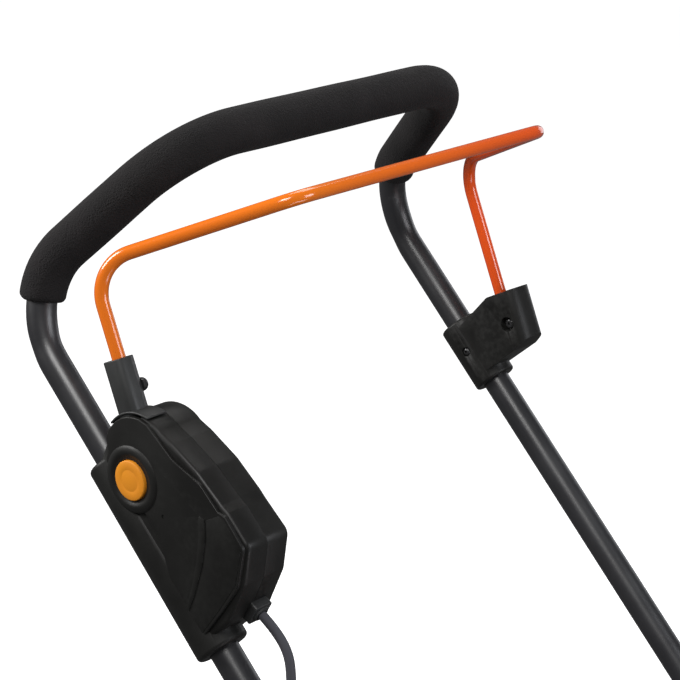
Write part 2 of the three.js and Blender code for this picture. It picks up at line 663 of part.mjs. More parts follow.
function coverSolid(inset) {
  const pull = ([y, z, r]) => [y - inset * Math.sign(y), z > 200 ? z - inset : z - 20 * Math.sign(inset), r];
  const across = [[94 - inset, 150 - 20 * Math.sign(inset)], [88 - inset, 262 - inset, 26], [52, 308 - inset, 20]];
  return common(
    slabX(COVER_SIDE.map(pull), -120, 120),
    slabY(mirrored(across), -140, 140),
    slabZ(mirrored([[66 - inset, -128 + inset, 26], [94 - inset, -40, 30], [92 - inset, 60, 20],
      [62 - inset, 120 - inset, 24]]), 100, 330),
  );
}

// Places a piece that is modelled lying flat onto the sloping top of the motor cover.
function ontoSlope(geometry, along, lift) {
  return geometry.rotateX(COVER_SLOPE).translate(
    0,
    -110 + along * Math.cos(COVER_SLOPE) - lift * Math.sin(COVER_SLOPE),
    262 + along * Math.sin(COVER_SLOPE) + lift * Math.cos(COVER_SLOPE),
  );
}

const BAY = { half: 46, from: 26, to: 122, depth: 44 };

function buildMotorUnit() {
  const shell = cut(coverSolid(0), coverSolid(COVER_WALL));
  const tray = ontoSlope(block(-BAY.half - 3, BAY.half + 3, BAY.from - 3, BAY.to + 3, -BAY.depth - 3, -0.6), 0, 0);
  const trayInside = ontoSlope(block(-BAY.half, BAY.half, BAY.from, BAY.to, -BAY.depth, 20), 0, 0);
  const keyHole = ontoSlope(bore([0, 146, -30], [0, 146, 20], 7, 16), 0, 0);
  const glandHole = bore([-90.5, 60, 244], [-90.5, 140, 244], 5.6, 14);
  const louvres = [];
  for (let row = 0; row < 5; row += 1) {
    const z = 206 + row * 11;
    louvres.push(block(-130, 130, -30, 50, z, z + 4.5));
  }
  const feet = COVER_SCREWS.map(([x, y]) => bar([x, y, 176], [x, y, 196], 8, 10));
  const bores = COVER_SCREWS.map(([x, y]) => bore([x, y, 160], [x, y, 200], 2.2, 8));
  const body = join(shell, tray, ...feet);
  add(mower, 'motor_cover', cut(
    common(body, coverSolid(0)), trayInside, keyHole, glandHole, ...louvres, ...bores, deckSolid(GAP),
  ), MAT.plastic);

  const gland = bar([-90.5, 104, 244], [-90.5, 121, 244], 5.3, 14);
  const nose = bar([-90.5, 119.5, 244], [-90.5, 140, 244], 7.4, 14, 5.2);
  const glandBore = bore([-90.5, 90, 244], [-90.5, 160, 244], CABLE_R + GAP, 12);
  add(mower, 'motor_cable_gland', cut(join(gland, nose), glandBore), MAT.plastic);

  const pack = ontoSlope(slabZ([
    [-BAY.half + 1, BAY.from + 1, 6], [BAY.half - 1, BAY.from + 1, 6],
    [BAY.half - 1, BAY.to - 1, 6], [-BAY.half + 1, BAY.to - 1, 6],
  ], -BAY.depth + 0.5, -1.5, 2), 0, 0);
  add(mower, 'battery_pack', pack, MAT.plastic);

  const lid = slabZ([
    [-BAY.half - 8, BAY.from - 12, 8], [BAY.half + 8, BAY.from - 12, 8],
    [BAY.half + 8, BAY.to + 6, 4], [-BAY.half - 8, BAY.to + 6, 4],
  ], 0.8, 6, 1.5);
  add(mower, 'battery_door', ontoSlope(lid, 0, 0), MAT.plastic);

  const keyCap = bar([0, 146, 0.8], [0, 146, 9], 10, 18);
  const keyStem = bar([0, 146, -22], [0, 146, 1], 6.4, 16);
  add(mower, 'safety_key', ontoSlope(join(keyCap, keyStem), 0, 0), MAT.button);

  const can = turned([
    [6.4, CHAMBER_ROOF + 6], [50, CHAMBER_ROOF + 6], [50, 200], [44, 205], [7, 205], [7, 198], [6.4, 198],
    [6.4, CHAMBER_ROOF + 6],
  ], 28);
  add(mower, 'motor_can', can, MAT.steel);

  add(mower, 'motor_shaft', bar([0, 0, 59], [0, 0, 203], 6, 16), MAT.steel);
  const adapter = turned([
    [6.3, BLADE_Z + 3.3], [26, BLADE_Z + 3.3], [26, BLADE_Z + 8], [14, BLADE_Z + 12], [14, 78], [6.3, 78],
    [6.3, BLADE_Z + 3.3],
  ], 24);
  add(mower, 'blade_adapter', adapter, MAT.plastic);

  const half = BLADE_LENGTH / 2;
  const bladePlan = slabZ([
    [-half, -24, 6], [-half + 70, -24], [half, -24, 2], [half, 24, 6], [half - 70, 24], [-half, 24, 2],
  ], BLADE_Z, BLADE_Z + 3);
  const wing = (turn) => slabX([[-24, BLADE_Z], [-12, BLADE_Z], [-12, BLADE_Z + 2.8], [-24, BLADE_Z + 14]],
    half - 62, half - 4).rotateZ(turn);
  const centreHole = bore([0, 0, 30], [0, 0, 70], 5.4, 16);
  add(mower, 'blade', cut(join(bladePlan, wing(0), wing(Math.PI)), centreHole), MAT.steel);
  const boltHead = bar([0, 0, 40], [0, 0, BLADE_Z - GAP], 10, 6);
  const boltShank = bar([0, 0, 45], [0, 0, 58.5], 5, 14);
  add(mower, 'blade_bolt', join(boltHead, boltShank), MAT.steel);
}

// ---------------------------------------------------------------- axles and wheels
function buildWheels() {
  const axle = ([y, z], reach) => bar([-reach, y, z], [reach, y, z], AXLE_R, 14);
  add(mower, 'front_axle', axle(FRONT_AXLE, FRONT_WHEEL_X + WHEEL_WIDTH - 3), MAT.steel);
  add(mower, 'rear_axle', axle(REAR_AXLE, REAR_WHEEL_X + WHEEL_WIDTH - 3), MAT.steel);
  const wheel = (name, side, [y, radius], inner) => {
    const w = WHEEL_WIDTH;
    const rim = radius - 15;
    const rimRoom = rim - 0.8;
    const axleRoom = clear(AXLE_R + GAP, WHEEL_SIDES);
    const tread = clear(radius, WHEEL_SIDES);
    const tyre = turned([
      [rim, 3], [tread - 5, 2], [tread, 9], [tread, w - 9], [tread - 5, w - 2], [rim, w - 3], [rim, 3],
    ], WHEEL_SIDES);
    const hub = turned([
      [axleRoom, 2], [16, 2], [18, 12], [rimRoom - 7, 12], [rimRoom - 4, 3], [rimRoom, 3], [rimRoom, w - 3],
      [rimRoom - 4, w - 3], [rimRoom - 9, w - 8], [22, w - 5], [19, w], [axleRoom, w], [axleRoom, 2],
    ], WHEEL_SIDES);
    [[tyre, 'tyre', MAT.rubber], [hub, 'hub', MAT.hub]].forEach(([geometry, kind, material]) => {
      const placed = geometry.rotateZ(Math.PI / WHEEL_SIDES)
        .rotateY(side * Math.PI / 2).translate(side * inner, y, radius);
      add(mower, `${name}_${kind}`, placed, material);
    });
  };
  wheel('front_left', 1, FRONT_AXLE, FRONT_WHEEL_X);
  wheel('front_right', -1, FRONT_AXLE, FRONT_WHEEL_X);
  wheel('rear_left', 1, REAR_AXLE, REAR_WHEEL_X);
  wheel('rear_right', -1, REAR_AXLE, REAR_WHEEL_X);
}

// ---------------------------------------------------------------- rear flap and grass box
const FLAP_AXIS = [262, 238];

function buildFlap() {
  add(mower, 'flap_rod', bar([-151, ...FLAP_AXIS], [151, ...FLAP_AXIS], 3, 12), MAT.steel);
  const plate = slabX([
    [259, 243.5], [266, 240.5], [300, 256], [350, 283], [360, 283], [360, 290, 3], [350, 291], [298, 262],
  ], -133, 133);
  const knuckles = [[-133, -12], [12, 133]].map(([x0, x1]) =>
    bar([x0, ...FLAP_AXIS], [x1, ...FLAP_AXIS], 6.6, 16));
  const gapAtLug = block(-8.5, 8.5, 240, 274, 225, 256);
  const rodBore = bore([-150, ...FLAP_AXIS], [150, ...FLAP_AXIS], 3 + GAP, 12);
  add(mower, 'rear_flap', cut(join(plate, ...knuckles), gapAtLug, rodBore), MAT.plastic);
}

const CATCHER = [
  [284, 92, 10], [330, 66, 16], [604, 66, 34], [648, 118, 30], [652, 262, 24], [620, 306, 26],
  [470, 306, 40], [354, 280, 20], [296, 252, 6], [284, 230, 6],
];

function catcherSolid(inset) {
  const middle = [460, 180];
  const pull = ([y, z, r]) => [y - inset * Math.sign(y - middle[0]), z - inset * Math.sign(z - middle[1]), r];
  const across = [[138 - inset, 60 + inset, 22], [156 - inset, 190], [150 - inset, 310 - inset, 30]];
  return common(slabX(CATCHER.map(pull), -170, 170), slabY(mirrored(across), 270, 670));
}

function buildGrassBox() {
  const shell = cut(catcherSolid(0), catcherSolid(2.6));
  const mouth = slabY([[-112, 100, 10], [112, 100, 10], [112, 206, 10], [-112, 206, 10]], 270, 300);
  const vents = [];
  for (let column = -3; column <= 3; column += 1) {
    vents.push(block(column * 30 - 9, column * 30 + 9, 480, 570, 295, 320));
  }
  const whole = cut(shell, mouth);
  const low = common(whole, block(-200, 200, 260, 700, 40, 189.9));
  const high = cut(common(whole, block(-200, 200, 260, 700, 190.1, 330)), ...vents);
  add(mower, 'grass_box_lower', low, MAT.plastic);
  add(mower, 'grass_box_upper', high, MAT.plastic);
  const grip = new BentLine([[-62, 0, 0], [-62, 0, 34, 12], [62, 0, 34, 12], [62, 0, 0]], 3);
  const feet = [-62, 62].map((x) => slabZ([
    [x - 14, -14, 5], [x + 14, -14, 5], [x + 14, 14, 5], [x - 14, 14, 5]], -2, 3));
  const carry = join(sweep(ring(8.5, 0, 10), grip), ...feet).translate(0, 425, 306.5);
  add(mower, 'grass_box_handle', cut(carry, catcherSolid(-GAP)), MAT.plastic);
}

buildUpperHandle();
buildBail();
buildSwitchBox();
buildBracket();
buildFoldJoint(-1, 'right');
buildFoldJoint(1, 'left');
buildCable();
buildDeck();
buildMotorUnit();
buildWheels();
buildFlap();
buildGrassBox();

// The origin is on the ground below the middle of the whole mower.
const extent = new THREE.Box3().setFromObject(mower, true);
const centre = extent.getCenter(new THREE.Vector3());
mower.position.set(0, -centre.y, -extent.min.z);

export default mower;
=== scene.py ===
"""A cordless push lawn mower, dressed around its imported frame.

Every piece is modelled in millimetres in one of two working frames, the sloping handle's and the
deck's, and is then placed in metres where the frame says. The handle frame runs x across, a up
along the straight tubes and b square to them, facing forward and up.
"""

import json
import logging
import math
from dataclasses import dataclass, field
from enum import Enum
from typing import Callable, Iterable, Optional, Sequence

import bmesh
import bpy
from mathutils import Matrix, Vector

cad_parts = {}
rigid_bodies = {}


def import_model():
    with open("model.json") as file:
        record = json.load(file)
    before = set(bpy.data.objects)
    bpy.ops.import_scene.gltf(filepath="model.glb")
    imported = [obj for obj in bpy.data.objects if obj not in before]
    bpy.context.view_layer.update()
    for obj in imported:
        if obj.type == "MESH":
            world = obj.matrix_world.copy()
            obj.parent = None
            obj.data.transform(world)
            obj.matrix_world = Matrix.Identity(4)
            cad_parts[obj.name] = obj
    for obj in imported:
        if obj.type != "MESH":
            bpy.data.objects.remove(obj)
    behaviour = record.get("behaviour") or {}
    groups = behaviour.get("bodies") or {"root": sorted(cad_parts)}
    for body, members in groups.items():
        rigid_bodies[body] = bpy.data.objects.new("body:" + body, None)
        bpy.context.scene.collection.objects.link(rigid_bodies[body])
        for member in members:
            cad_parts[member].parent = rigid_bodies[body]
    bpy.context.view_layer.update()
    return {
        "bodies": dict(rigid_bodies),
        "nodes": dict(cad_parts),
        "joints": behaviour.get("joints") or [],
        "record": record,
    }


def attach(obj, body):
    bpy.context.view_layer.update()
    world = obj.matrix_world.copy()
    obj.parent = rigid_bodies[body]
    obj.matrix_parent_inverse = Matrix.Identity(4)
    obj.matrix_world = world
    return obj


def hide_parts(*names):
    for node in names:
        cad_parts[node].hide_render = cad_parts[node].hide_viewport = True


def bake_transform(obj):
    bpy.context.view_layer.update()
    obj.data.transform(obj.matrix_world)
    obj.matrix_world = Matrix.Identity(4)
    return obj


LOG = logging.getLogger("mower")
MM = 0.001
SMOOTH_ANGLE = math.radians(38)
Point2 = tuple[float, float]
Corner2 = tuple[float, float, float]
Corner3 = tuple[float, float, float, float]


# ---------------------------------------------------------------- lines and outlines
def bend_path(corners: Sequence[Corner3], step: float = 3.0) -> list[Vector]:
    """Follows straight runs joined by round bends.

    Args:
        corners: The bend corners as x, y, z and bend radius, with radius 0 at both ends.
        step: The longest distance between two points, in millimetres.

    Returns:
        Points along the line, close enough together to look round.
    """
    keys: list[Vector] = []
    for index, (x, y, z, radius) in enumerate(corners):
        corner = Vector((x, y, z))
        if radius == 0:
            keys.append(corner)
            continue
        back = (Vector(corners[index - 1][:3]) - corner).normalized()
        ahead = (Vector(corners[index + 1][:3]) - corner).normalized()
        half = back.angle(ahead) / 2
        centre = corner + (back + ahead).normalized() * radius / math.sin(half)
        arm = corner + back * radius / math.tan(half) - centre
        turn = math.pi - 2 * half
        axis = ahead.cross(back).normalized()
        count = max(4, math.ceil(turn * radius / step))
        keys += [centre + Matrix.Rotation(turn * k / count, 3, axis) @ arm for k in range(count + 1)]
    points = [keys[0]]
    for end in keys[1:]:
        start = points[-1]
        count = max(1, math.ceil((end - start).length / step))
        points += [start.lerp(end, k / count) for k in range(1, count + 1)]
    return points


def line_length(points: Sequence[Vector]) -> float:
    """Returns the length of a line through points."""
    return sum((b - a).length for a, b in zip(points, points[1:]))


def stretch_of(points: Sequence[Vector], start: float, end: float) -> list[Vector]:
    """Cuts a stretch out of a line.

    Args:
        points: The whole line.
        start: Where the stretch starts, as a distance along the line.
        end: Where the stretch ends.

    Returns:
        The points of the stretch, with its two ends added.
    """
    found: list[Vector] = []
    reached = 0.0
    for a, b in zip(points, points[1:]):
        length = (b - a).length
        for mark in (start, end):
            if reached <= mark < reached + length:
                found.append(a.lerp(b, (mark - reached) / length))
        reached += length
        if start + 0.2 < reached < end - 0.2:
            found.append(b.copy())
    return found


def rounded(corners: Sequence[Corner2], steps: int = 5) -> list[Point2]:
    """Rounds the corners of a closed outline.

    Args:
        corners: The corners as u, v and corner radius.
        steps: How many segments an arc has.

    Returns:
        The outline's points in order.
    """
    points: list[Point2] = []
    for index, (u, v, radius) in enumerate(corners):
        corner = Vector((u, v))
        if radius == 0:
            points.append((u, v))
            continue
        back = (Vector(corners[index - 1][:2]) - corner).normalized()
        ahead = (Vector(corners[(index + 1) % len(corners)][:2]) - corner).normalized()
        half = math.acos(max(-1.0, min(1.0, back.dot(ahead)))) / 2
        reach = radius / math.tan(half)
        start, end = corner + back * reach, corner + ahead * reach
        for k in range(steps + 1):
            t = k / steps
            spot = start * (1 - t) ** 2 + corner * 2 * t * (1 - t) + end * t * t
            points.append((spot.x, spot.y))
    return points


def arc(centre: Point2, radius: float, first: float, last: float, count: int) -> list[Point2]:
    """Returns points on an arc from one angle to another, in degrees from the first axis."""
    angles = [math.radians(first + (last - first) * k / count) for k in range(count + 1)]
    return [(centre[0] + radius * math.cos(t), centre[1] + radius * math.sin(t)) for t in angles]


# ---------------------------------------------------------------- the work bench
class Axis(Enum):
    """The direction that a flat outline is extruded in."""

    X = (0, 1, 2)
    Y = (1, 0, 2)
    Z = (2, 0, 1)

    def point(self, along: float, u: float, v: float) -> Vector:
        """Returns the point at a height along the axis and at u, v across it."""
        spot = Vector((0, 0, 0))
        spot[self.value[0]], spot[self.value[1]], spot[self.value[2]] = along, u, v
        return spot


def deselect() -> None:
    """Leaves edit mode and deselects everything."""
    if bpy.context.object and bpy.context.object.mode == "EDIT":
        bpy.ops.object.mode_set(mode="OBJECT")
    bpy.ops.object.select_all(action="DESELECT")


def only(obj: bpy.types.Object) -> bpy.types.Object:
    """Makes one object the only selected and active one, and returns it."""
    deselect()
    obj.select_set(True)
    bpy.context.view_layer.objects.active = obj
    return obj


def edit(obj: bpy.types.Object, work: Callable[[], None]) -> bpy.types.Object:
    """Runs an edit-mode step on the whole of an object.

    Args:
        obj: The object to work on.
        work: What to do with everything selected.

    Returns:
        The same object.
    """
    only(obj)
    bpy.ops.object.mode_set(mode="EDIT")
    bpy.ops.mesh.select_all(action="SELECT")
    work()
    bpy.ops.object.mode_set(mode="OBJECT")
    return obj


def outward() -> None:
    """Merges doubles, drops loose bits and turns the faces outward, in edit mode."""
    bpy.ops.mesh.remove_doubles(threshold=1e-4)
    bpy.ops.mesh.delete_loose()
    bpy.ops.mesh.select_all(action="SELECT")
    bpy.ops.mesh.normals_make_consistent(inside=False)


def place(obj: bpy.types.Object, matrix: Matrix) -> bpy.types.Object:
    """Moves an object's place into its mesh and returns it."""
    obj.data.transform(matrix)
    obj.data.update()
    return obj


def prism(name: str, outline: Sequence[Point2], low: float, high: float, axis: Axis = Axis.X
          ) -> bpy.types.Object:
    """Extrudes a flat outline into a closed block.

    Args:
        name: The object's name.
        outline: The outline's points across the axis.
        low: Where the block starts along the axis.
        high: Where it ends.
        axis: The direction of the extrusion.

    Returns:
        The block.
    """
    deselect()
    bpy.ops.mesh.primitive_circle_add(vertices=len(outline), radius=1, fill_type="NGON")
    obj = bpy.context.object
    obj.name = name
    for vertex, (u, v) in zip(obj.data.vertices, outline):
        vertex.co = axis.point(low, u, v)
    step = axis.point(high - low, 0, 0)

    def grow() -> None:
        """Pulls the face out along the axis."""
        bpy.ops.mesh.extrude_region_move(TRANSFORM_OT_translate={"value": step})
        bpy.ops.mesh.select_all(action="SELECT")
        outward()

    return edit(obj, grow)


def lathe(name: str, profile: Sequence[Point2], segments: int = 64) -> bpy.types.Object:
    """Spins a closed profile of radius and height round the z axis.

    Args:
        name: The object's name.
        profile: The profile's points as radius and height.
        segments: How many steps a full turn has.

    Returns:
        The turned piece.
    """
    deselect()
    bpy.ops.mesh.primitive_circle_add(vertices=len(profile), radius=1, fill_type="NOTHING")
    obj = bpy.context.object
    obj.name = name
    for vertex, (radius, height) in zip(obj.data.vertices, profile):
        vertex.co = (radius, 0, height)

    def turn() -> None:
        """Spins the profile through a full turn and closes it."""
        bpy.ops.mesh.spin(steps=segments, angle=2 * math.pi, center=(0, 0, 0), axis=(0, 0, 1))
        bpy.ops.mesh.select_all(action="SELECT")
        outward()

    return edit(obj, turn)


def rod(name: str, start: Sequence[float], end: Sequence[float], radius: float,
        end_radius: Optional[float] = None, sides: int = 48) -> bpy.types.Object:
    """Makes a round bar, or a cone, from one point to another.

    Args:
        name: The object's name.
        start: The first end.
        end: The other end.
        radius: The radius at the first end.
        end_radius: The radius at the other end, if it differs.
        sides: How many sides it has.

    Returns:
        The bar.
    """
    first, last = Vector(start), Vector(end)
    span = last - first
    deselect()
    bpy.ops.mesh.primitive_cone_add(
        vertices=sides, radius1=radius, radius2=radius if end_radius is None else end_radius,
        depth=span.length)
    obj = bpy.context.object
    obj.name = name
    turn = Vector((0, 0, 1)).rotation_difference(span).to_matrix().to_4x4()
    return place(obj, Matrix.Translation((first + last) / 2) @ turn)


def pipe(name: str, points: Sequence[Vector], radius: float,
         swell: Optional[Callable[[float], float]] = None, resolution: int = 14) -> bpy.types.Object:
    """Makes a round bar along a line.

    Args:
        name: The object's name.
        points: The line.
        radius: The bar's radius.
        swell: The factor on the radius at a distance along the line.
        resolution: The bevel resolution of the curve that it is made from.

    Returns:
        The bar as a closed mesh.
    """
    deselect()
    data = bpy.data.curves.new(name, "CURVE")
    data.dimensions = "3D"
    data.bevel_depth = radius
    data.bevel_resolution = resolution
    data.use_fill_caps = True
    spline = data.splines.new("POLY")
    spline.points.add(len(points) - 1)
    reached = 0.0
    for index, (knot, spot) in enumerate(zip(spline.points, points)):
        if index:
            reached += (spot - points[index - 1]).length
        knot.co = (*spot, 1)
        knot.radius = swell(reached) if swell else 1.0
    obj = bpy.data.objects.new(name, data)
    bpy.context.scene.collection.objects.link(obj)
    only(obj)
    bpy.ops.object.convert(target="MESH")
    return edit(bpy.context.object, outward)


def apply_modifier(obj: bpy.types.Object, kind: str, **values: object) -> bpy.types.Object:
    """Adds a modifier, sets its values, applies it and returns the object."""
    modifier = obj.modifiers.new(kind.lower(), kind)
    for key, value in values.items():
        setattr(modifier, key, value)
    only(obj)
    bpy.ops.object.modifier_apply(modifier=modifier.name)
    return obj


def bevel(obj: bpy.types.Object, width: float, segments: int = 3, angle: float = 30.0
          ) -> bpy.types.Object:
    """Rounds the edges that are sharper than an angle, and returns the object."""
    return apply_modifier(
        obj, "BEVEL", width=width, segments=segments, limit_method="ANGLE",
        angle_limit=math.radians(angle), miter_outer="MITER_ARC")


def boolean(obj: bpy.types.Object, others: Iterable[bpy.types.Object], operation: str
            ) -> bpy.types.Object:
    """Joins, cuts or intersects an object with others, which are used up.

    Args:
        obj: The object that is kept.
        others: The tools.
        operation: UNION, DIFFERENCE or INTERSECT.

    Returns:
        The kept object.
    """
    for other in others:
        apply_modifier(obj, "BOOLEAN", object=other, operation=operation, solver="EXACT")
        bpy.data.objects.remove(other)
    return obj


def merged(name: str, parts: Sequence[bpy.types.Object]) -> bpy.types.Object:
    """Joins separate shells into one object with a new name, and returns it."""
    deselect()
    for part in parts:
        part.select_set(True)
    bpy.context.view_layer.objects.active = parts[0]
    bpy.ops.object.join()
    parts[0].name = name
    return parts[0]


def twin(obj: bpy.types.Object, name: str, matrix: Matrix) -> bpy.types.Object:
    """Copies an object with its own mesh, moves the copy and returns it."""
    copy = obj.copy()
    copy.data = obj.data.copy()
    copy.name = name
    bpy.context.scene.collection.objects.link(copy)
    place(copy, matrix)
    if matrix.determinant() < 0:
        edit(copy, lambda: bpy.ops.mesh.normals_make_consistent(inside=False))
    return copy


def along_x(x: float, a: float, b: float, backwards: bool = False) -> Matrix:
    """Returns the matrix that turns the z axis onto the x axis at a point."""
    turn = Matrix.Rotation(math.radians(-90 if backwards else 90), 4, "Y")
    return Matrix.Translation((x, a, b)) @ turn


# ---------------------------------------------------------------- working frames
@dataclass(frozen=True)
class WorkFrame:
    """A working frame in millimetres and the matrix that puts it in the mower."""

    matrix: Matrix

    def point(self, x: float, y: float, z: float) -> Vector:
        """Returns a point of the working frame in metres."""
        return self.matrix @ Vector((x, y, z))


def joint_named(frame: dict, name: str) -> dict:
    """Returns the joint of that name from the frame."""
    return next(joint for joint in frame["joints"] if joint["name"] == name)


FOLD_ALONG = -640.0


def handle_frame(frame: dict) -> WorkFrame:
    """Finds the sloping handle's frame from the fold joint and the cam lever's axis."""
    forward = Vector(joint_named(frame, "cam_lever_left_swing")["axis"]).normalized()
    across = Vector((1, 0, 0))
    up = forward.cross(across).normalized()
    fold = Vector(joint_named(frame, "handle_fold")["pos_m"])
    origin = fold - up * FOLD_ALONG * MM
    turn = Matrix((across, up, forward)).transposed()
    return WorkFrame(Matrix.Translation(origin) @ turn.to_4x4() @ Matrix.Scale(MM, 4))


def deck_frame(frame: dict) -> WorkFrame:
    """Finds the deck's frame, whose origin is on the ground below the blade."""
    spindle = Vector(joint_named(frame, "blade_spin")["pos_m"])
    return WorkFrame(Matrix.Translation((0, spindle.y, 0)) @ Matrix.Scale(MM, 4))


# ---------------------------------------------------------------- shared shader groups
class Pattern(Enum):
    """The relief that a surface carries."""

    GRAIN = "moulded_grain"
    CELLS = "foam_cells"
    BRUSHED = "brushed_lines"


def new_group(name: str, inputs: Sequence[tuple[str, str, float]], outputs: Sequence[tuple[str, str]]
              ) -> tuple[bpy.types.ShaderNodeTree, bpy.types.Node, bpy.types.Node]:
    """Starts a shader node group.

    Args:
        name: The group's name.
        inputs: Its inputs as name, socket type and default number.
        outputs: Its outputs as name and socket type.

    Returns:
        The group, its input node and its output node.
    """
    group = bpy.data.node_groups.new(name, "ShaderNodeTree")
    for label, kind, value in inputs:
        socket = group.interface.new_socket(name=label, in_out="INPUT", socket_type=kind)
        if kind == "NodeSocketFloat":
            socket.default_value = value
    for label, kind in outputs:
        group.interface.new_socket(name=label, in_out="OUTPUT", socket_type=kind)
    return group, group.nodes.new("NodeGroupInput"), group.nodes.new("NodeGroupOutput")


def noise(tree: bpy.types.NodeTree, vector: bpy.types.NodeSocket, scale: bpy.types.NodeSocket,
          detail: float = 2.0) -> bpy.types.NodeSocket:
    """Adds a noise texture driven by a vector and a scale socket, and returns its value."""
    node = tree.nodes.new("ShaderNodeTexNoise")
    node.inputs["Detail"].default_value = detail
    tree.links.new(vector, node.inputs["Vector"])
    tree.links.new(scale, node.inputs["Scale"])
    return node.outputs["Fac"]


def spread(tree: bpy.types.NodeTree, value: bpy.types.NodeSocket, low: float, high: float,
           to_low: float = 0.0, to_high: float = 1.0) -> bpy.types.NodeSocket:
    """Adds a map range node and returns its result."""
    node = tree.nodes.new("ShaderNodeMapRange")
    for label, number in (("From Min", low), ("From Max", high), ("To Min", to_low), ("To Max", to_high)):
        node.inputs[label].default_value = number
    tree.links.new(value, node.inputs["Value"])
    return node.outputs["Result"]


def arithmetic(tree: bpy.types.NodeTree, operation: str, first: object, second: object
               ) -> bpy.types.NodeSocket:
    """Adds a math node over two sockets or numbers and returns its value."""
    node = tree.nodes.new("ShaderNodeMath")
    node.operation = operation
    for slot, value in zip(node.inputs, (first, second)):
        if isinstance(value, (int, float)):
            slot.default_value = value
        else:
            tree.links.new(value, slot)
    return node.outputs["Value"]


def relief_group(pattern: Pattern) -> bpy.types.NodeTree:
    """Returns the group that gives a relief's height, made on first use.

    Args:
        pattern: Which relief it is.

    Returns:
        A group with the inputs Vector and Scale and the output Height.
    """
    if pattern.value in bpy.data.node_groups:
        return bpy.data.node_groups[pattern.value]
    group, source, result = new_group(
        pattern.value, [("Vector", "NodeSocketVector", 0), ("Scale", "NodeSocketFloat", 900)],
        [("Height", "NodeSocketFloat")])
    vector, scale = source.outputs["Vector"], source.outputs["Scale"]
    if pattern is Pattern.CELLS:
        cells = group.nodes.new("ShaderNodeTexVoronoi")
        cells.feature = "SMOOTH_F1"
        group.links.new(vector, cells.inputs["Vector"])
        group.links.new(scale, cells.inputs["Scale"])
        coarse = noise(group, vector, arithmetic(group, "MULTIPLY", scale, 0.35))
        height = arithmetic(group, "ADD", cells.outputs["Distance"], coarse)
    elif pattern is Pattern.BRUSHED:
        stretch = group.nodes.new("ShaderNodeVectorMath")
        stretch.operation = "MULTIPLY"
        stretch.inputs[1].default_value = (0.06, 1.0, 1.0)
        group.links.new(vector, stretch.inputs[0])
        height = noise(group, stretch.outputs["Vector"], scale, 4.0)
    else:
        fine = noise(group, vector, scale, 3.0)
        coarse = noise(group, vector, arithmetic(group, "MULTIPLY", scale, 0.25))
        height = arithmetic(group, "ADD", fine, coarse)
    group.links.new(height, result.inputs["Height"])
    return group


def tone_group() -> bpy.types.NodeTree:
    """Returns the group that varies a colour over a surface and lightens its worn edges.

    Returns:
        A group with the inputs Vector, Base, Shade, Worn, Scale and Wear, and the outputs Colour
        and Polish.
    """
    name = "tone_and_wear"
    if name in bpy.data.node_groups:
        return bpy.data.node_groups[name]
    group, source, result = new_group(
        name,
        [("Vector", "NodeSocketVector", 0), ("Base", "NodeSocketColor", 0),
         ("Shade", "NodeSocketColor", 0), ("Worn", "NodeSocketColor", 0),
         ("Scale", "NodeSocketFloat", 12), ("Wear", "NodeSocketFloat", 0.2)],
        [("Colour", "NodeSocketColor"), ("Polish", "NodeSocketFloat")])
    cloud = spread(group, noise(group, source.outputs["Vector"], source.outputs["Scale"], 5.0), 0.35, 0.65)
    mix = group.nodes.new("ShaderNodeMix")
    mix.data_type = "RGBA"
    group.links.new(cloud, mix.inputs["Factor"])
    group.links.new(source.outputs["Base"], mix.inputs["A"])
    group.links.new(source.outputs["Shade"], mix.inputs["B"])
    shape = group.nodes.new("ShaderNodeNewGeometry")
    edge = spread(group, shape.outputs["Pointiness"], 0.52, 0.62)
    patchy = spread(group, noise(
        group, source.outputs["Vector"], arithmetic(group, "MULTIPLY", source.outputs["Scale"], 9.0)),
        0.4, 0.7)
    worn = arithmetic(group, "MULTIPLY", arithmetic(group, "MULTIPLY", edge, patchy), source.outputs["Wear"])
    rub = group.nodes.new("ShaderNodeMix")
    rub.data_type = "RGBA"
    group.links.new(worn, rub.inputs["Factor"])
    group.links.new(mix.outputs["Result"], rub.inputs["A"])
    group.links.new(source.outputs["Worn"], rub.inputs["B"])
    group.links.new(rub.outputs["Result"], result.inputs["Colour"])
    group.links.new(arithmetic(group, "SUBTRACT", cloud, worn), result.inputs["Polish"])
    return group


# ---------------------------------------------------------------- finishes
Colour = tuple[float, float, float]


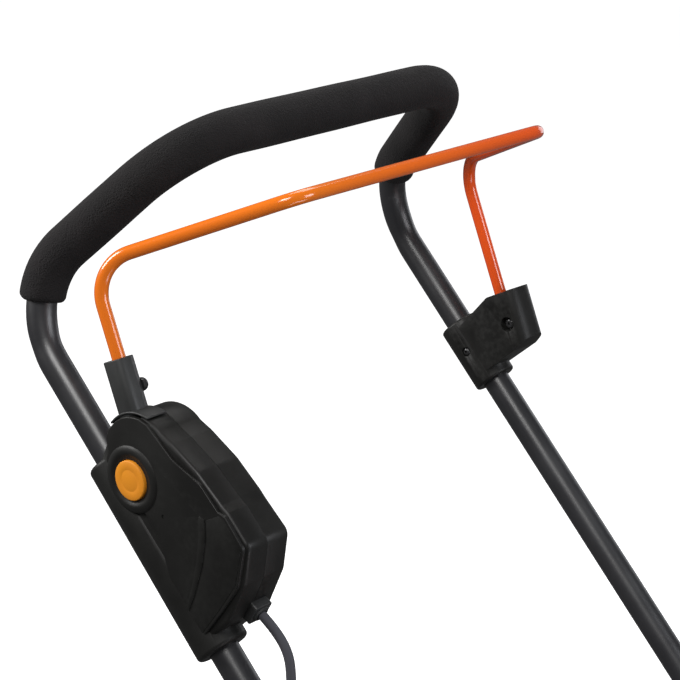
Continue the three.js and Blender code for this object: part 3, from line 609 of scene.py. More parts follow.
@dataclass(frozen=True)
class Finish:
    """One finish: its colours, its gloss and the relief on it."""

    name: str
    slot: str
    base: Colour
    shade: Colour
    roughness: tuple[float, float]
    relief: Pattern = Pattern.GRAIN
    relief_scale: float = 1100.0
    relief_depth: float = 0.00012
    relief_strength: float = 0.35
    tone_scale: float = 14.0
    worn: Colour = (0.12, 0.12, 0.125)
    wear: float = 0.25
    metallic: float = 0.0
    specular: float = 0.5
    coat: float = 0.0
    sheen: float = 0.0
    # Painted shade: a darker, redder colour that the base fades into on the side away from the camera,
    # standing in for the light falling off.
    painted_shade_colour: Optional[Colour] = None

    def material(self) -> bpy.types.Material:
        """Returns the finish's material, made on first use."""
        if self.name in bpy.data.materials:
            return bpy.data.materials[self.name]
        material = bpy.data.materials.new(self.name)
        material.use_nodes = True
        tree = material.node_tree
        shader = tree.nodes["Principled BSDF"]
        shader.inputs["Metallic"].default_value = self.metallic
        shader.inputs["Specular IOR Level"].default_value = self.specular
        shader.inputs["Coat Weight"].default_value = self.coat
        shader.inputs["Coat Roughness"].default_value = 0.04
        shader.inputs["Sheen Weight"].default_value = self.sheen
        spot = tree.nodes.new("ShaderNodeTexCoord").outputs["Object"]
        tone = tree.nodes.new("ShaderNodeGroup")
        tone.node_tree = tone_group()
        for label, colour in (("Base", self.base), ("Shade", self.shade), ("Worn", self.worn)):
            tone.inputs[label].default_value = (*colour, 1)
        tone.inputs["Scale"].default_value = self.tone_scale
        tone.inputs["Wear"].default_value = self.wear
        tree.links.new(spot, tone.inputs["Vector"])
        colour = tone.outputs["Colour"]
        # Paints shade across the piece where a painted-shade colour is given.
        if self.painted_shade_colour:
            colour = self.paint_shade_across(tree, spot, colour)
        tree.links.new(colour, shader.inputs["Base Color"])
        rough = spread(tree, tone.outputs["Polish"], 0.0, 1.0, *self.roughness)
        tree.links.new(rough, shader.inputs["Roughness"])
        relief = tree.nodes.new("ShaderNodeGroup")
        relief.node_tree = relief_group(self.relief)
        relief.inputs["Scale"].default_value = self.relief_scale
        tree.links.new(spot, relief.inputs["Vector"])
        bump = tree.nodes.new("ShaderNodeBump")
        bump.inputs["Strength"].default_value = self.relief_strength
        bump.inputs["Distance"].default_value = self.relief_depth
        tree.links.new(relief.outputs["Height"], bump.inputs["Height"])
        tree.links.new(bump.outputs["Normal"], shader.inputs["Normal"])
        return material

    def paint_shade_across(self, tree: bpy.types.NodeTree, spot: bpy.types.NodeSocket, near: bpy.types.NodeSocket
              ) -> bpy.types.NodeSocket:
        """Paints shade by fading the colour to a darker, redder one from one side of the mower to the other.

        Args:
            tree: The material's nodes.
            spot: The object coordinates.
            near: The lit colour on the near side, before the painted shade.

        Returns:
            The colour with the painted shade faded in.
        """
        parts = tree.nodes.new("ShaderNodeSeparateXYZ")
        tree.links.new(spot, parts.inputs["Vector"])
        # The painted shade's share grows across x from -0.12 m to 0.14 m.
        share = spread(tree, parts.outputs["X"], -0.12, 0.14)
        mix = tree.nodes.new("ShaderNodeMix")
        mix.data_type = "RGBA"
        mix.inputs["B"].default_value = (*self.painted_shade_colour, 1)
        tree.links.new(share, mix.inputs["Factor"])
        tree.links.new(near, mix.inputs["A"])
        return mix.outputs["Result"]


FOAM = Finish("closed_cell_foam", "foam", (0.0100, 0.0093, 0.0096), (0.018, 0.0165, 0.017), (0.86, 0.98),
              Pattern.CELLS, 1150, 0.0008, 0.85, 30, (0.07, 0.066, 0.066), 0.3, specular=0.22, sheen=0.03)
TUBE_PAINT = Finish("charcoal_powder_coat", "tube_paint", (0.0125, 0.0125, 0.0150), (0.0165, 0.0165, 0.0195),
                    (0.33, 0.41), relief_scale=1300, relief_depth=0.0001, relief_strength=0.30,
                    tone_scale=22, wear=0.15, specular=0.9)
# The bail's orange fades to a darker, redder orange on its side away from the camera: painted shade, not a
# real change of paint.
BAIL_PAINT = Finish("gloss_orange_paint", "bail_paint", (0.86, 0.188, 0.007), (0.83, 0.172, 0.006),
                    (0.16, 0.22), relief_scale=420, relief_depth=0.00003, relief_strength=0.04,
                    tone_scale=9, worn=(0.7, 0.32, 0.08), wear=0.1, coat=0.6,
                    painted_shade_colour=(0.82, 0.088, 0.007))
BLACK_PLASTIC = Finish("black_moulding", "black_plastic", (0.0062, 0.0061, 0.0056), (0.0090, 0.0089, 0.0081),
                       (0.40, 0.54), relief_scale=1900, relief_depth=0.00006, relief_strength=0.35,
                       tone_scale=26, worn=(0.05, 0.05, 0.048), wear=0.3, specular=0.34)
SLEEVE_PLASTIC = Finish("charcoal_moulding", "black_plastic", (0.019, 0.020, 0.020), (0.026, 0.027, 0.027),
                        (0.42, 0.54), relief_scale=1500, relief_depth=0.0001, relief_strength=0.4,
                        tone_scale=30, worn=(0.08, 0.08, 0.08), wear=0.3, specular=0.5)
ORANGE_PLASTIC = Finish("orange_moulding", "orange_plastic", (0.80, 0.290, 0.014), (0.77, 0.272, 0.013),
                        (0.48, 0.60), relief_scale=1700, relief_depth=0.00006, tone_scale=60,
                        worn=(0.85, 0.42, 0.1), wear=0.2, specular=0.35)
DECK_PLASTIC = Finish("orange_deck", "deck_plastic", (0.74, 0.125, 0.010), (0.70, 0.108, 0.009),
                      (0.30, 0.44), relief_scale=700, relief_depth=0.00008, relief_strength=0.25,
                      tone_scale=6, worn=(0.80, 0.30, 0.12), wear=0.25, specular=0.45)
JACKET = Finish("cable_jacket", "cable_jacket", (0.0035, 0.0035, 0.0040), (0.0055, 0.0055, 0.0062),
                (0.12, 0.18), relief_scale=500, relief_depth=0.00005, relief_strength=0.15,
                tone_scale=40, wear=0.05, specular=0.34)
STEEL = Finish("zinc_plated_steel", "steel", (0.52, 0.53, 0.54), (0.44, 0.45, 0.47), (0.26, 0.42),
               Pattern.BRUSHED, 900, 0.00006, 0.3, 35, (0.62, 0.62, 0.62), 0.2, metallic=1.0)
DARK_SCREW = Finish("blackened_screw", "steel", (0.016, 0.016, 0.017), (0.024, 0.024, 0.025), (0.16, 0.26),
                    relief_scale=900, relief_depth=0.00004, relief_strength=0.2, tone_scale=60,
                    worn=(0.2, 0.2, 0.2), wear=0.3, specular=0.6, coat=0.3)
TYRE_RUBBER = Finish("tyre_rubber", "tyre_rubber", (0.014, 0.0138, 0.0138), (0.022, 0.0215, 0.021),
                     (0.70, 0.86), relief_scale=900, relief_depth=0.00015, relief_strength=0.5,
                     tone_scale=18, worn=(0.07, 0.065, 0.06), wear=0.5, specular=0.35)
HUB_PLASTIC = Finish("grey_hub", "hub_plastic", (0.088, 0.093, 0.099), (0.105, 0.11, 0.115), (0.40, 0.52),
                     relief_scale=1200, relief_depth=0.0001, tone_scale=16, worn=(0.22, 0.22, 0.23),
                     wear=0.35)
BOX_PLASTIC = Finish("grass_box_moulding", "black_plastic", (0.016, 0.016, 0.016), (0.022, 0.022, 0.0215),
                     (0.50, 0.64), relief_scale=800, relief_depth=0.00014, relief_strength=0.5,
                     tone_scale=18, worn=(0.05, 0.05, 0.05), wear=0.2, specular=0.4)


def dress(obj: bpy.types.Object, finish: Finish, body: str, nodes: Sequence[str] = (),
          smooth: bool = True) -> bpy.types.Object:
    """Gives a finished piece its material, its body and the nodes that it stands for.

    Args:
        obj: The piece, already in its place.
        finish: Its finish.
        body: The body that it moves with.
        nodes: The frame's nodes that it replaces.
        smooth: Whether its shallow edges are shaded smooth.

    Returns:
        The piece.
    """
    only(obj)
    if smooth:
        bpy.ops.object.shade_smooth_by_angle(angle=SMOOTH_ANGLE)
    obj.data.materials.clear()
    obj.data.materials.append(finish.material())
    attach(obj, body)
    if nodes:
        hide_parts(*nodes)
    LOG.info("%s: %d faces on %s", obj.name, len(obj.data.polygons), body)
    return obj


# ---------------------------------------------------------------- studio
@dataclass
class Studio:
    """The floor, the soft lights and the camera."""

    target: Vector
    eye_offset: Vector = field(default_factory=lambda: Vector((-1.2077, -1.147222, 0.473676)))
    forward: Vector = field(default_factory=lambda: Vector((0.7232, 0.6208, -0.3025)))
    up: Vector = field(default_factory=lambda: Vector((0.2296, 0.1971, 0.9531)))
    lens: float = 118.0
    sensor: float = 36.0
    world_light: float = 0.13
    floor_glow: float = 0.90

    def build(self) -> None:
        """Makes the camera, the lights and the floor."""
        self.build_camera()
        self.build_lights()
        self.build_floor()

    def build_camera(self) -> None:
        """Sets the camera at the operator's right front, looking down on the handle."""
        forward = self.forward.normalized()
        right = forward.cross(self.up).normalized()
        up = right.cross(forward)
        camera = bpy.data.objects.new("camera", bpy.data.cameras.new("camera"))
        camera.data.lens = self.lens
        camera.data.sensor_width = self.sensor
        camera.data.clip_end = 60
        turn = Matrix((right, up, -forward)).transposed().to_4x4()
        camera.matrix_world = Matrix.Translation(self.target + self.eye_offset) @ turn
        bpy.context.scene.collection.objects.link(camera)
        bpy.context.scene.camera = camera

    def build_lights(self) -> None:
        """Hangs the soft boxes round the mower, in the camera's own directions."""
        forward = self.forward.normalized()
        right = forward.cross(self.up).normalized()
        up = right.cross(forward)
        for name, toward, size, power in (
            ("key_box", right * -1.7 + up * 0.8 - forward * 0.35, 0.8, 30.0),
            ("front_box", right * -0.3 + up * 1.0 - forward * 1.9, 0.8, 24.0),
            ("top_box", right * 0.3 + up * 2.0 + forward * 0.2, 1.2, 15.0),
            ("side_box", right * 1.9 + up * 0.1 - forward * 1.1, 0.9, 16.0),
            ("low_box", right * 0.9 - up * 1.1 - forward * 0.5, 0.7, 5.0),
            ("rear_box", right * 1.4 + up * 0.7 + forward * 1.6, 1.2, 6.0),
        ):
            light = bpy.data.lights.new(name, "AREA")
            light.size = size
            light.energy = power
            light.color = (0.93, 0.95, 1.0) if toward.dot(right) > 0.5 else (1.0, 0.99, 0.98)
            lamp = bpy.data.objects.new(name, light)
            lamp.location = self.target + toward
            lamp.rotation_euler = (-toward).to_track_quat("-Z", "Y").to_euler()
            bpy.context.scene.collection.objects.link(lamp)
        world = bpy.data.worlds.new("studio")
        world.use_nodes = True
        world.node_tree.nodes["Background"].inputs["Color"].default_value = (1, 1, 1, 1)
        world.node_tree.nodes["Background"].inputs["Strength"].default_value = self.world_light
        bpy.context.scene.world = world
        bpy.context.scene.view_settings.view_transform = "Standard"

    def build_floor(self) -> None:
        """Lays the plain pale floor."""
        deselect()
        bpy.ops.mesh.primitive_plane_add(size=60, location=(0, 0, -0.0005))
        floor = bpy.context.object
        floor.name = "studio_floor"
        material = bpy.data.materials.new("studio_floor")
        material.use_nodes = True
        shader = material.node_tree.nodes["Principled BSDF"]
        shader.inputs["Base Color"].default_value = (0.86, 0.86, 0.86, 1)
        shader.inputs["Roughness"].default_value = 0.9
        shader.inputs["Specular IOR Level"].default_value = 0.1
        shader.inputs["Emission Color"].default_value = (1, 1, 1, 1)
        shader.inputs["Emission Strength"].default_value = self.floor_glow
        floor.data.materials.append(material)
        floor.visible_diffuse = False
        floor.visible_glossy = False


# ---------------------------------------------------------------- control cable
@dataclass
class ControlCable:
    """The lead from the switch box down the right tube to the motor cover."""

    handle: WorkFrame
    radius: float = 3.5
    upper: Sequence[tuple[float, float, float]] = (
        (-192, -258.4, 40.1), (-192, -266, 42.2), (-192, -275, 43.6), (-192, -284, 43.6),
        (-192.4, -293, 41.4), (-193.5, -302, 36.6), (-195.5, -314, 28.4), (-198, -330, 20.5),
        (-200, -348, 16.2), (-201.5, -368, 15.1), (-201.8, -390, 15), (-201.8, -450, 15),
        (-201.8, -520, 15), (-201.8, -566, 15), (-200.5, -580, 16), (-195, -594, 18),
        (-184, -607, 19), (-171, -616, 16.5), (-160.5, -622, 10.5), (-155, -628, 4.6),
        (-153.5, -634, 1), (-153.5, -639.8, 0))
    lower: Sequence[tuple[float, float, float]] = (
        (-153.5, -640.2, 0), (-153.5, -646, -1), (-156, -664, -2.2), (-160, -680, -1),
        (-162.4, -698, 0), (-163.2, -720, 0), (-163.2, -780, 0), (-163.2, -850, 0), (-162, -872, 2),
        (-157, -886, 6), (-148, -898, 12), (-136, -912, 18), (-122, -930, 25), (-109, -952, 34),
        (-99, -975, 44), (-93.5, -996, 54))
    bend_start: tuple[float, float, float] = (-160, -590, 0)
    bend_end: tuple[float, float, float] = (-160, -690, 0)

    def build(self) -> None:
        """Runs the lead along its route in one smooth curve."""
        knots = [Vector(p) for p in (*self.upper[:-1], *self.lower[1:])]
        route: list[Vector] = []
        for k, (p1, p2) in enumerate(zip(knots, knots[1:])):
            p0, p3 = knots[max(0, k - 1)], knots[min(len(knots) - 1, k + 2)]
            route += [self.between(p0, p1, p2, p3, t / 6) for t in range(6)]
        route = self.evenly([*route, knots[-1]], 4.0)
        lead = pipe("control_cable", route, self.radius, resolution=8)
        place(lead, self.handle.matrix)
        lead.data.materials.append(JACKET.material())
        only(lead)
        bpy.ops.object.shade_smooth_by_angle(angle=SMOOTH_ANGLE)
        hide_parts("cable_upper", "cable_lower")
        self.handle.point(*self.bend_start)
        self.handle.point(*self.bend_end)
        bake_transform(lead)
        path = [self.handle.matrix @ spot for spot in route]
        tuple(path[0])
        round(line_length(path), 3)
        LOG.info("control_cable: %.3f m", line_length(path))

    @staticmethod
    def evenly(points: Sequence[Vector], step: float) -> list[Vector]:
        """Returns points spaced evenly along a line, about a step apart."""
        total = line_length(points)
        count = max(2, round(total / step))
        marks, index, done = [], 1, 0.0
        for k in range(count + 1):
            goal = total * k / count
            while index < len(points) - 1 and done + (points[index] - points[index - 1]).length < goal:
                done += (points[index] - points[index - 1]).length
                index += 1
            piece = points[index] - points[index - 1]
            marks.append(points[index - 1] + piece * min(1.0, (goal - done) / max(1e-9, piece.length)))
        return marks

    @staticmethod
    def between(p0: Vector, p1: Vector, p2: Vector, p3: Vector, t: float) -> Vector:
        """Returns the point at t between p1 and p2 on a centripetal spline through four points."""
        t0 = 0.0
        t1 = t0 + max(1e-6, (p1 - p0).length ** 0.5)
        t2 = t1 + max(1e-6, (p2 - p1).length ** 0.5)
        t3 = t2 + max(1e-6, (p3 - p2).length ** 0.5)
        s = t1 + (t2 - t1) * t
        a1 = p0 * ((t1 - s) / (t1 - t0)) + p1 * ((s - t0) / (t1 - t0))
        a2 = p1 * ((t2 - s) / (t2 - t1)) + p2 * ((s - t1) / (t2 - t1))
        a3 = p2 * ((t3 - s) / (t3 - t2)) + p3 * ((s - t2) / (t3 - t2))
        b1 = a1 * ((t2 - s) / (t2 - t0)) + a2 * ((s - t0) / (t2 - t0))
        b2 = a2 * ((t3 - s) / (t3 - t1)) + a3 * ((s - t1) / (t3 - t1))
        return b1 * ((t2 - s) / (t2 - t1)) + b2 * ((s - t1) / (t2 - t1))


# ---------------------------------------------------------------- upper handle
TUBE_R = 11.0
HANDLE_HALF = 201.8


@dataclass
class UpperHandle:
    """The bent steel tube and the foam grip over its top."""

    handle: WorkFrame
    foot: float = -662.0
    low_corner: tuple[float, float, float] = (190.5, 34, 34)
    high_corner: tuple[float, float, float] = (150, 37, 170)
    bends: tuple[float, float, float] = (64, 56, 68)
    foam_radius: float = 16.6
    foam_reach: tuple[float, float] = (302, 276)
    crease: float = 0.045

    def line(self, step: float) -> list[Vector]:
        """Returns the tube's centreline from the right foot to the left foot."""
        half = [(HANDLE_HALF, self.foot, 0, 0), (HANDLE_HALF, 0, 0, self.bends[0]),
                (*self.low_corner, self.bends[1]), (*self.high_corner, self.bends[2])]
        other = [(-x, a, b, r) for x, a, b, r in half]
        return bend_path([*other, *reversed(half)], step)

    def build(self) -> None:
        """Bends the tube, closes its feet with plugs and pulls the foam over it."""
        line = self.line(4.0)
        total = line_length(line)
        at_bend = abs(self.foot) - 12

        def pinch(reached: float) -> float:
            """Narrows the tube a little where its first bends crease it."""
            near = min(abs(reached - at_bend), abs(total - reached - at_bend))
            return 1 - self.crease * math.exp(-((near / 9) ** 2))

        tube = pipe("handle_tube", line, TUBE_R, pinch, 16)
        bevel(tube, 1.2, 3, 60)
        dress(place(tube, self.handle.matrix), TUBE_PAINT, "upper_handle", ["upper_handle_tube"])
        self.build_foam(line, total)
        self.build_plugs()

    def build_foam(self, line: Sequence[Vector], total: float) -> None:
        """Makes the foam sleeve with its rounded ends and its bore."""
        first, last = total / 2 - self.foam_reach[0], total / 2 + self.foam_reach[1]
        inside = stretch_of(line, first, last)
        lip = 5.0
        ends = [0.25, 0.8, 1.6, 2.6, 3.8, lip]
        length = line_length(inside)
        knots = sorted({*ends, *(length - e for e in ends), 0.0, length})
        reached, spots = 0.0, []
        marks = [0.0]
        for a, b in zip(inside, inside[1:]):
            reached += (b - a).length
            marks.append(reached)
        for mark in sorted({*knots, *(m for m in marks if lip + 2 < m < length - lip - 2)}):
            k = max(1, next((i for i, m in enumerate(marks) if m >= mark - 1e-6), len(marks) - 1))
            share = (mark - marks[k - 1]) / max(1e-6, marks[k] - marks[k - 1])
            spots.append(inside[k - 1].lerp(inside[k], min(1.0, share)))

        def swell(at: float) -> float:
            """Rounds the sleeve's ends and lets it swell very slightly along its length."""
            near = min(at, length - at)
            drop = lip - math.sqrt(max(0.0, lip ** 2 - max(0.0, lip - near) ** 2))
            wave = 0.10 * math.sin(at * 0.031) + 0.07 * math.sin(at * 0.083 + 1.1)
            return (self.foam_radius - drop + wave * min(1.0, near / 20)) / self.foam_radius

        foam = pipe("foam_sleeve", spots, self.foam_radius, swell, 18)
        core = pipe("foam_bore", stretch_of(line, first - 6, last + 6), TUBE_R + 0.15, None, 16)
        boolean(foam, [core], "DIFFERENCE")
        dress(place(foam, self.handle.matrix), FOAM, "upper_handle", ["foam_grip"])

    def build_plugs(self) -> None:
        """Closes the tube's two open feet with plastic plugs."""
        for side, name in ((-1, "right"), (1, "left")):
            plug = lathe(f"tube_plug_{name}", [
                (0, -3.0), (7.5, -3.0), (9.6, -2.3), (10.6, -0.9), (10.6, -0.1), (0, -0.1)], 48)
            place(plug, Matrix.Translation((side * HANDLE_HALF, self.foot, 0)) @ Matrix.Rotation(
                math.radians(-90), 4, "X"))
            dress(place(plug, self.handle.matrix), BLACK_PLASTIC, "upper_handle")


# ---------------------------------------------------------------- bail
PIVOT = (-126.0, 40.0)
BAIL_X = 207.0
BUTTON_AT = (-133.3, 25.7)
BOX_FACE = -218.8


@dataclass
class Bail:
    """The orange dead-man bar, its socket and the bolt that holds it in the socket."""

    handle: WorkFrame
    radius: float = 5.0
    shoulder: tuple[float, float] = (1.7, 89.8)
    corner: tuple[float, float, float] = (139, -45.5, 220.7)
    bends: tuple[float, float] = (30, 26)
    sleeve: tuple[float, float] = (20.5, 70.5)
    drum_radius: float = 22.0
    band: tuple[float, float] = (32.8, 34.4)

    @property
    def lean(self) -> float:
        """The leg's angle from the tubes, in radians."""
        return math.atan2(self.shoulder[1] - PIVOT[1], self.shoulder[0] - PIVOT[0])

    def on_leg(self, x: float, along: float, across: float = 0.0) -> tuple[float, float, float]:
        """Returns the point at a distance along the leg from its pivot and square to it."""
        c, s = math.cos(self.lean), math.sin(self.lean)
        return (x, PIVOT[0] + along * c - across * s, PIVOT[1] + along * s + across * c)

    def leg_matrix(self, x: float) -> Matrix:
        """Returns the matrix that stands the z axis along the leg, with y across it."""
        turn = Matrix.Rotation(self.lean - math.pi / 2, 4, "X")
        return Matrix.Translation((x, *PIVOT)) @ turn

    def build(self) -> None:
        """Makes the bar, the socket with its shutter band and the bolt."""
        bar = pipe("bail_bar_bent", bend_path([
            (*self.on_leg(-BAIL_X, 23.5), 0), (-BAIL_X, *self.shoulder, self.bends[0]),
            (-self.corner[0], *self.corner[1:], self.bends[1]), (*self.corner, self.bends[1]),
            (BAIL_X, *self.shoulder, self.bends[0]), (*self.on_leg(BAIL_X, -4), 0)], 2.5),
            self.radius, None, 14)
        bore = rod("pin_hole", (BAIL_X - 12, *PIVOT), (BAIL_X + 12, *PIVOT), 2.2, sides=24)
        boolean(bar, [bore], "DIFFERENCE")
        dress(place(bar, self.handle.matrix), BAIL_PAINT, "bail", ["bail_bar"])
        self.build_socket()
        self.build_bolt()

    def build_socket(self) -> None:
        """Makes the socket: a flat-fronted sleeve, the pivot drum and the band over the slot."""
        low, high = self.sleeve
        sleeve = prism("bail_socket_sleeve", rounded(
            [(-8.6, 8, 1.6), (-8.6, -8, 7.5), (3.2, -8, 0.8), (8.6, -5.2, 1.0), (8.6, 8, 1.6)], 8),
            low, high, Axis.Z)
        bevel(sleeve, 0.7, 3, 50)
        boolean(sleeve, [
            rod("leg_bore", (0, 0, low + 2.4), (0, 0, high + 9), self.radius + 0.45, sides=48),
            rod("bore_lead", (0, 0, high - 1.1), (0, 0, high + 1), self.radius + 0.4, 7.4),
            rod("bolt_bore", (5, -2.5, 49), (20, -2.5, 49), 2.3, sides=24)], "DIFFERENCE")
        place(sleeve, self.leg_matrix(-BAIL_X))
        drum = lathe("bail_socket", [
            (3.3, 0), (self.drum_radius - 1.2, 0), (self.drum_radius, 1.2), (self.drum_radius, 15.3),
            (self.drum_radius - 1.2, 16.5), (3.3, 16.5)], 96)
        place(drum, along_x(-211, *PIVOT))
        lean = math.degrees(self.lean)
        inner, outer = self.band
        strip = prism("band", [
            *arc(PIVOT, outer, lean - 30, lean + 38, 40), *arc(PIVOT, inner, lean + 38, lean - 30, 40)],
            -216.6, -197.8)
        bevel(strip, 0.7, 3, 50)
        boolean(drum, [sleeve, strip], "UNION")
        dress(place(drum, self.handle.matrix), SLEEVE_PLASTIC, "bail", ["bail_socket"])

    def build_bolt(self) -> None:
        """Makes the domed bolt on the socket's inner side."""
        dome = [(4.9 * math.cos(t), 2.2 + 4.3 * math.sin(t)) for t in (k * math.pi / 18 for k in range(10))]
        bolt = lathe("bail_socket_bolt_domed", [(0, -3.4), (2.1, -3.4), (2.1, 0), (4.9, 0), *dome], 40)
        recess = prism("hex", [(1.4 * math.cos(t), 1.4 * math.sin(t)) for t in
                               (k * math.pi / 3 for k in range(6))], 4.8, 9, Axis.Z)
        boolean(bolt, [recess], "DIFFERENCE")
        place(bolt, along_x(-198.3, *self.on_leg(0, 49, 2.5)[1:]))
        dress(place(bolt, self.handle.matrix), DARK_SCREW, "bail", ["bail_socket_bolt"])


# ---------------------------------------------------------------- switch box
@dataclass
class SwitchBox:
    """The two half shells, the raised face plate, the bezel, the lock button and the gland."""

    handle: WorkFrame
    split: float = -197.0
    far_side: float = -174.8
    shell_face: float = -216.4
    sleeve_radii: tuple[float, float] = (19.6, 18.4)
    sleeve: tuple[float, float] = (-262.0, -107.0)
    head_radius: float = 32.0
    button_radius: float = 14.4
    gland_x: float = -192.0
    gland_slope: float = -0.3

    def shell_outline(self, near: bool) -> list[Point2]:
        """Returns one half shell's outline in a and b."""
        head = [(a, b, 0) for a, b in arc(PIVOT, self.head_radius, -30, 84, 28)]
        notch = [(-188, 87.0, 6), (-195, 88.6, 6)] if near else [(-187, 86.6, 8), (-195, 86.8, 8)]
        return rounded([
            *head, (-133, 76, 14), (-160, 83.5, 20), *notch, (-222, 89, 9), (-240, 66, 12),
            (-253, 34, 12), (-252.5, -3, 0), (-110, -3, 0)], 6)

    def face_outline(self) -> list[Point2]:
        """Returns the raised face plate's outline in a and b."""
        head = [(a, b, 0) for a, b in arc(PIVOT, self.head_radius - 0.7, -28, 50, 22)]
        return rounded([
            *head, (-112, 67.4, 7), (-142, 71.4, 20), (-168, 82.4, 14), (-190.5, 83.6, 3), (-196, 87.2, 2),
            (-221.5, 86.2, 7), (-239, 62, 16), (-244.5, 37, 30), (-250.3, 3.2, 2), (-212, 3.6, 4),
            (-179, 19.6, 12), (-153, 20.6, 8), (-146, 16.4, 5), (-131, 14.6, 16), (-110, 18, 9)], 6)

    def build(self) -> None:
        """Makes every piece of the switch box."""
        self.build_half("switch_shell_near", self.shell_face, self.split - 0.12, "switch_box_outer")
        self.build_half("switch_shell_far", self.split + 0.12, self.far_side, "switch_box_inner")
        self.build_plate()
        self.build_bezel()
        self.build_button()
        self.build_gland()
        self.build_screws()

    def build_half(self, name: str, low: float, high: float, node: str) -> None:
        """Makes one half shell with its half of the tube sleeve.

        Args:
            name: The piece's name.
            low: The half's nearer side.
            high: Its farther side.
            node: The frame's node that it replaces.
        """
        near = low < self.split - 1
        shell = prism(name, self.shell_outline(near), low, high)
        self.soften_rim(shell, low if near else high, 3.4)
        start, end = self.sleeve
        sleeve = rod("sleeve", (-HANDLE_HALF, start, 0), (-HANDLE_HALF, end, 0), *self.sleeve_radii, 96)
        bevel(sleeve, 3.2, 5, 50)
        keep = prism("keep", [(-300, -40), (-60, -40), (-60, 110), (-300, 110)],
                     *((-240, high) if near else (low, -160)))
        boolean(sleeve, [keep], "INTERSECT")
        boolean(shell, [sleeve], "UNION")
        wedge = [PIVOT, *arc(PIVOT, 50, -24, 47, 12)]
        cutters = [
            rod("tube_bore", (-HANDLE_HALF, -290, 0), (-HANDLE_HALF, -80, 0), TUBE_R + 0.25, sides=64),
            prism("slot", wedge, -216.9 if near else self.split - 1, -197.4),
            rod("drum_room", (-211.4, *PIVOT), (-194.1, *PIVOT), 22.6, sides=72),
            rod("gland_hole", self.on_gland(-236), self.on_gland(-270), 8.2),
        ]
        if near:
            cutters.append(rod("button_hole", (-230, *BUTTON_AT), (-208, *BUTTON_AT), 15.2, sides=72))
        boolean(shell, cutters, "DIFFERENCE")
        bevel(shell, 0.22, 2, 50)
        dress(place(shell, self.handle.matrix), BLACK_PLASTIC, "upper_handle", [node])

    @staticmethod
    def soften_rim(shell: bpy.types.Object, side: float, width: float) -> None:
        """Rounds the rim of the broad side that lies at a given x.

        Args:
            shell: The block to round.
            side: The x of the broad side.
            width: The rounding's width.
        """
        only(shell)
        bpy.ops.object.mode_set(mode="EDIT")
        bpy.ops.mesh.select_all(action="DESELECT")
        mesh = bmesh.from_edit_mesh(shell.data)
        bpy.ops.mesh.select_mode(type="EDGE")
        for edge in mesh.edges:
            edge.select_set(all(abs(v.co.x - side) < 0.01 for v in edge.verts))
        bmesh.update_edit_mesh(shell.data)
        bpy.ops.mesh.bevel(offset=width, segments=5, affect="EDGES", clamp_overlap=True)
        bpy.ops.object.mode_set(mode="OBJECT")

    def build_plate(self) -> None:
        """Makes the raised face plate with the curved rib that sweeps down it."""
        plate = prism("switch_face_plate", self.face_outline(), BOX_FACE, self.shell_face + 0.6)
        self.soften_rim(plate, BOX_FACE, 0.75)
        rib = [(-184, 66), (-188.5, 69.5), (-199, 60), (-212, 43), (-223, 23), (-231.5, 4.2),
               (-228.6, 4.2), (-219, 22), (-208, 39), (-196, 54.5)]
        sweep = prism("rib", rib, BOX_FACE - 0.55, BOX_FACE + 0.4)
        bevel(sweep, 0.5, 2, 50)
        boolean(plate, [sweep], "UNION")
        lower = prism("facet", [(-189.5, 70), (-193, 83.0), (-197, 85.2), (-221, 83.8), (-236.5, 61.5),
                                (-242, 37), (-247.6, 5.8), (-232.8, 5.8), (-224.3, 23.5),
                                (-213.2, 44), (-200, 61.5)], BOX_FACE - 0.3, BOX_FACE + 0.5)
        bevel(lower, 0.28, 2, 50)
        boolean(plate, [lower], "UNION")
        boolean(plate, [
            rod("button_hole", (-230, *BUTTON_AT), (-208, *BUTTON_AT), 15.2, sides=72),
            rod("dot", (-230, -167.8, 34.8), (BOX_FACE + 0.5, -167.8, 34.8), 1.5, sides=24),
        ], "DIFFERENCE")
        dress(place(plate, self.handle.matrix), BLACK_PLASTIC, "upper_handle")

    def build_bezel(self) -> None:
        """Makes the raised ring round the button."""
        ring = lathe("button_bezel", [
            (14.9, -5.0), (24.4, -5.0), (24.4, -0.2), (23.8, 0.5), (22.6, 1.1), (21.0, 1.5), (19.6, 1.6),
            (18.2, 1.2), (17.0, 0.5), (16.2, 0.15), (15.4, 0.1), (14.9, -0.3)], 96)
        place(ring, along_x(BOX_FACE, BUTTON_AT[0], BUTTON_AT[1] + 1.2, backwards=True))
        keep = rod("button_room", (-230, *BUTTON_AT), (-208, *BUTTON_AT), 14.9, sides=96)
        boolean(ring, [keep], "DIFFERENCE")
        dress(place(ring, self.handle.matrix), BLACK_PLASTIC, "upper_handle")

    def build_button(self) -> None:
        """Makes the lock button with its faint ring and its flange."""
        r = self.button_radius
        button = lathe("lock_button_cap", [
            (0, -4.2), (16.2, -4.2), (16.2, -2.7), (r, -2.7), (r, 0.9), (r - 0.3, 1.5), (r - 0.9, 1.8),
            (8.2, 1.75), (7.8, 1.6), (7.4, 1.72), (0, 1.7)], 96)
        place(button, along_x(BOX_FACE, *BUTTON_AT, backwards=True))
        dress(place(button, self.handle.matrix), ORANGE_PLASTIC, "button", ["lock_button"])

    def on_gland(self, along: float) -> tuple[float, float, float]:
        """Returns the point on the gland's axis at a distance along the tubes."""
        return (self.gland_x, along, 37 + (along + 248) * self.gland_slope)

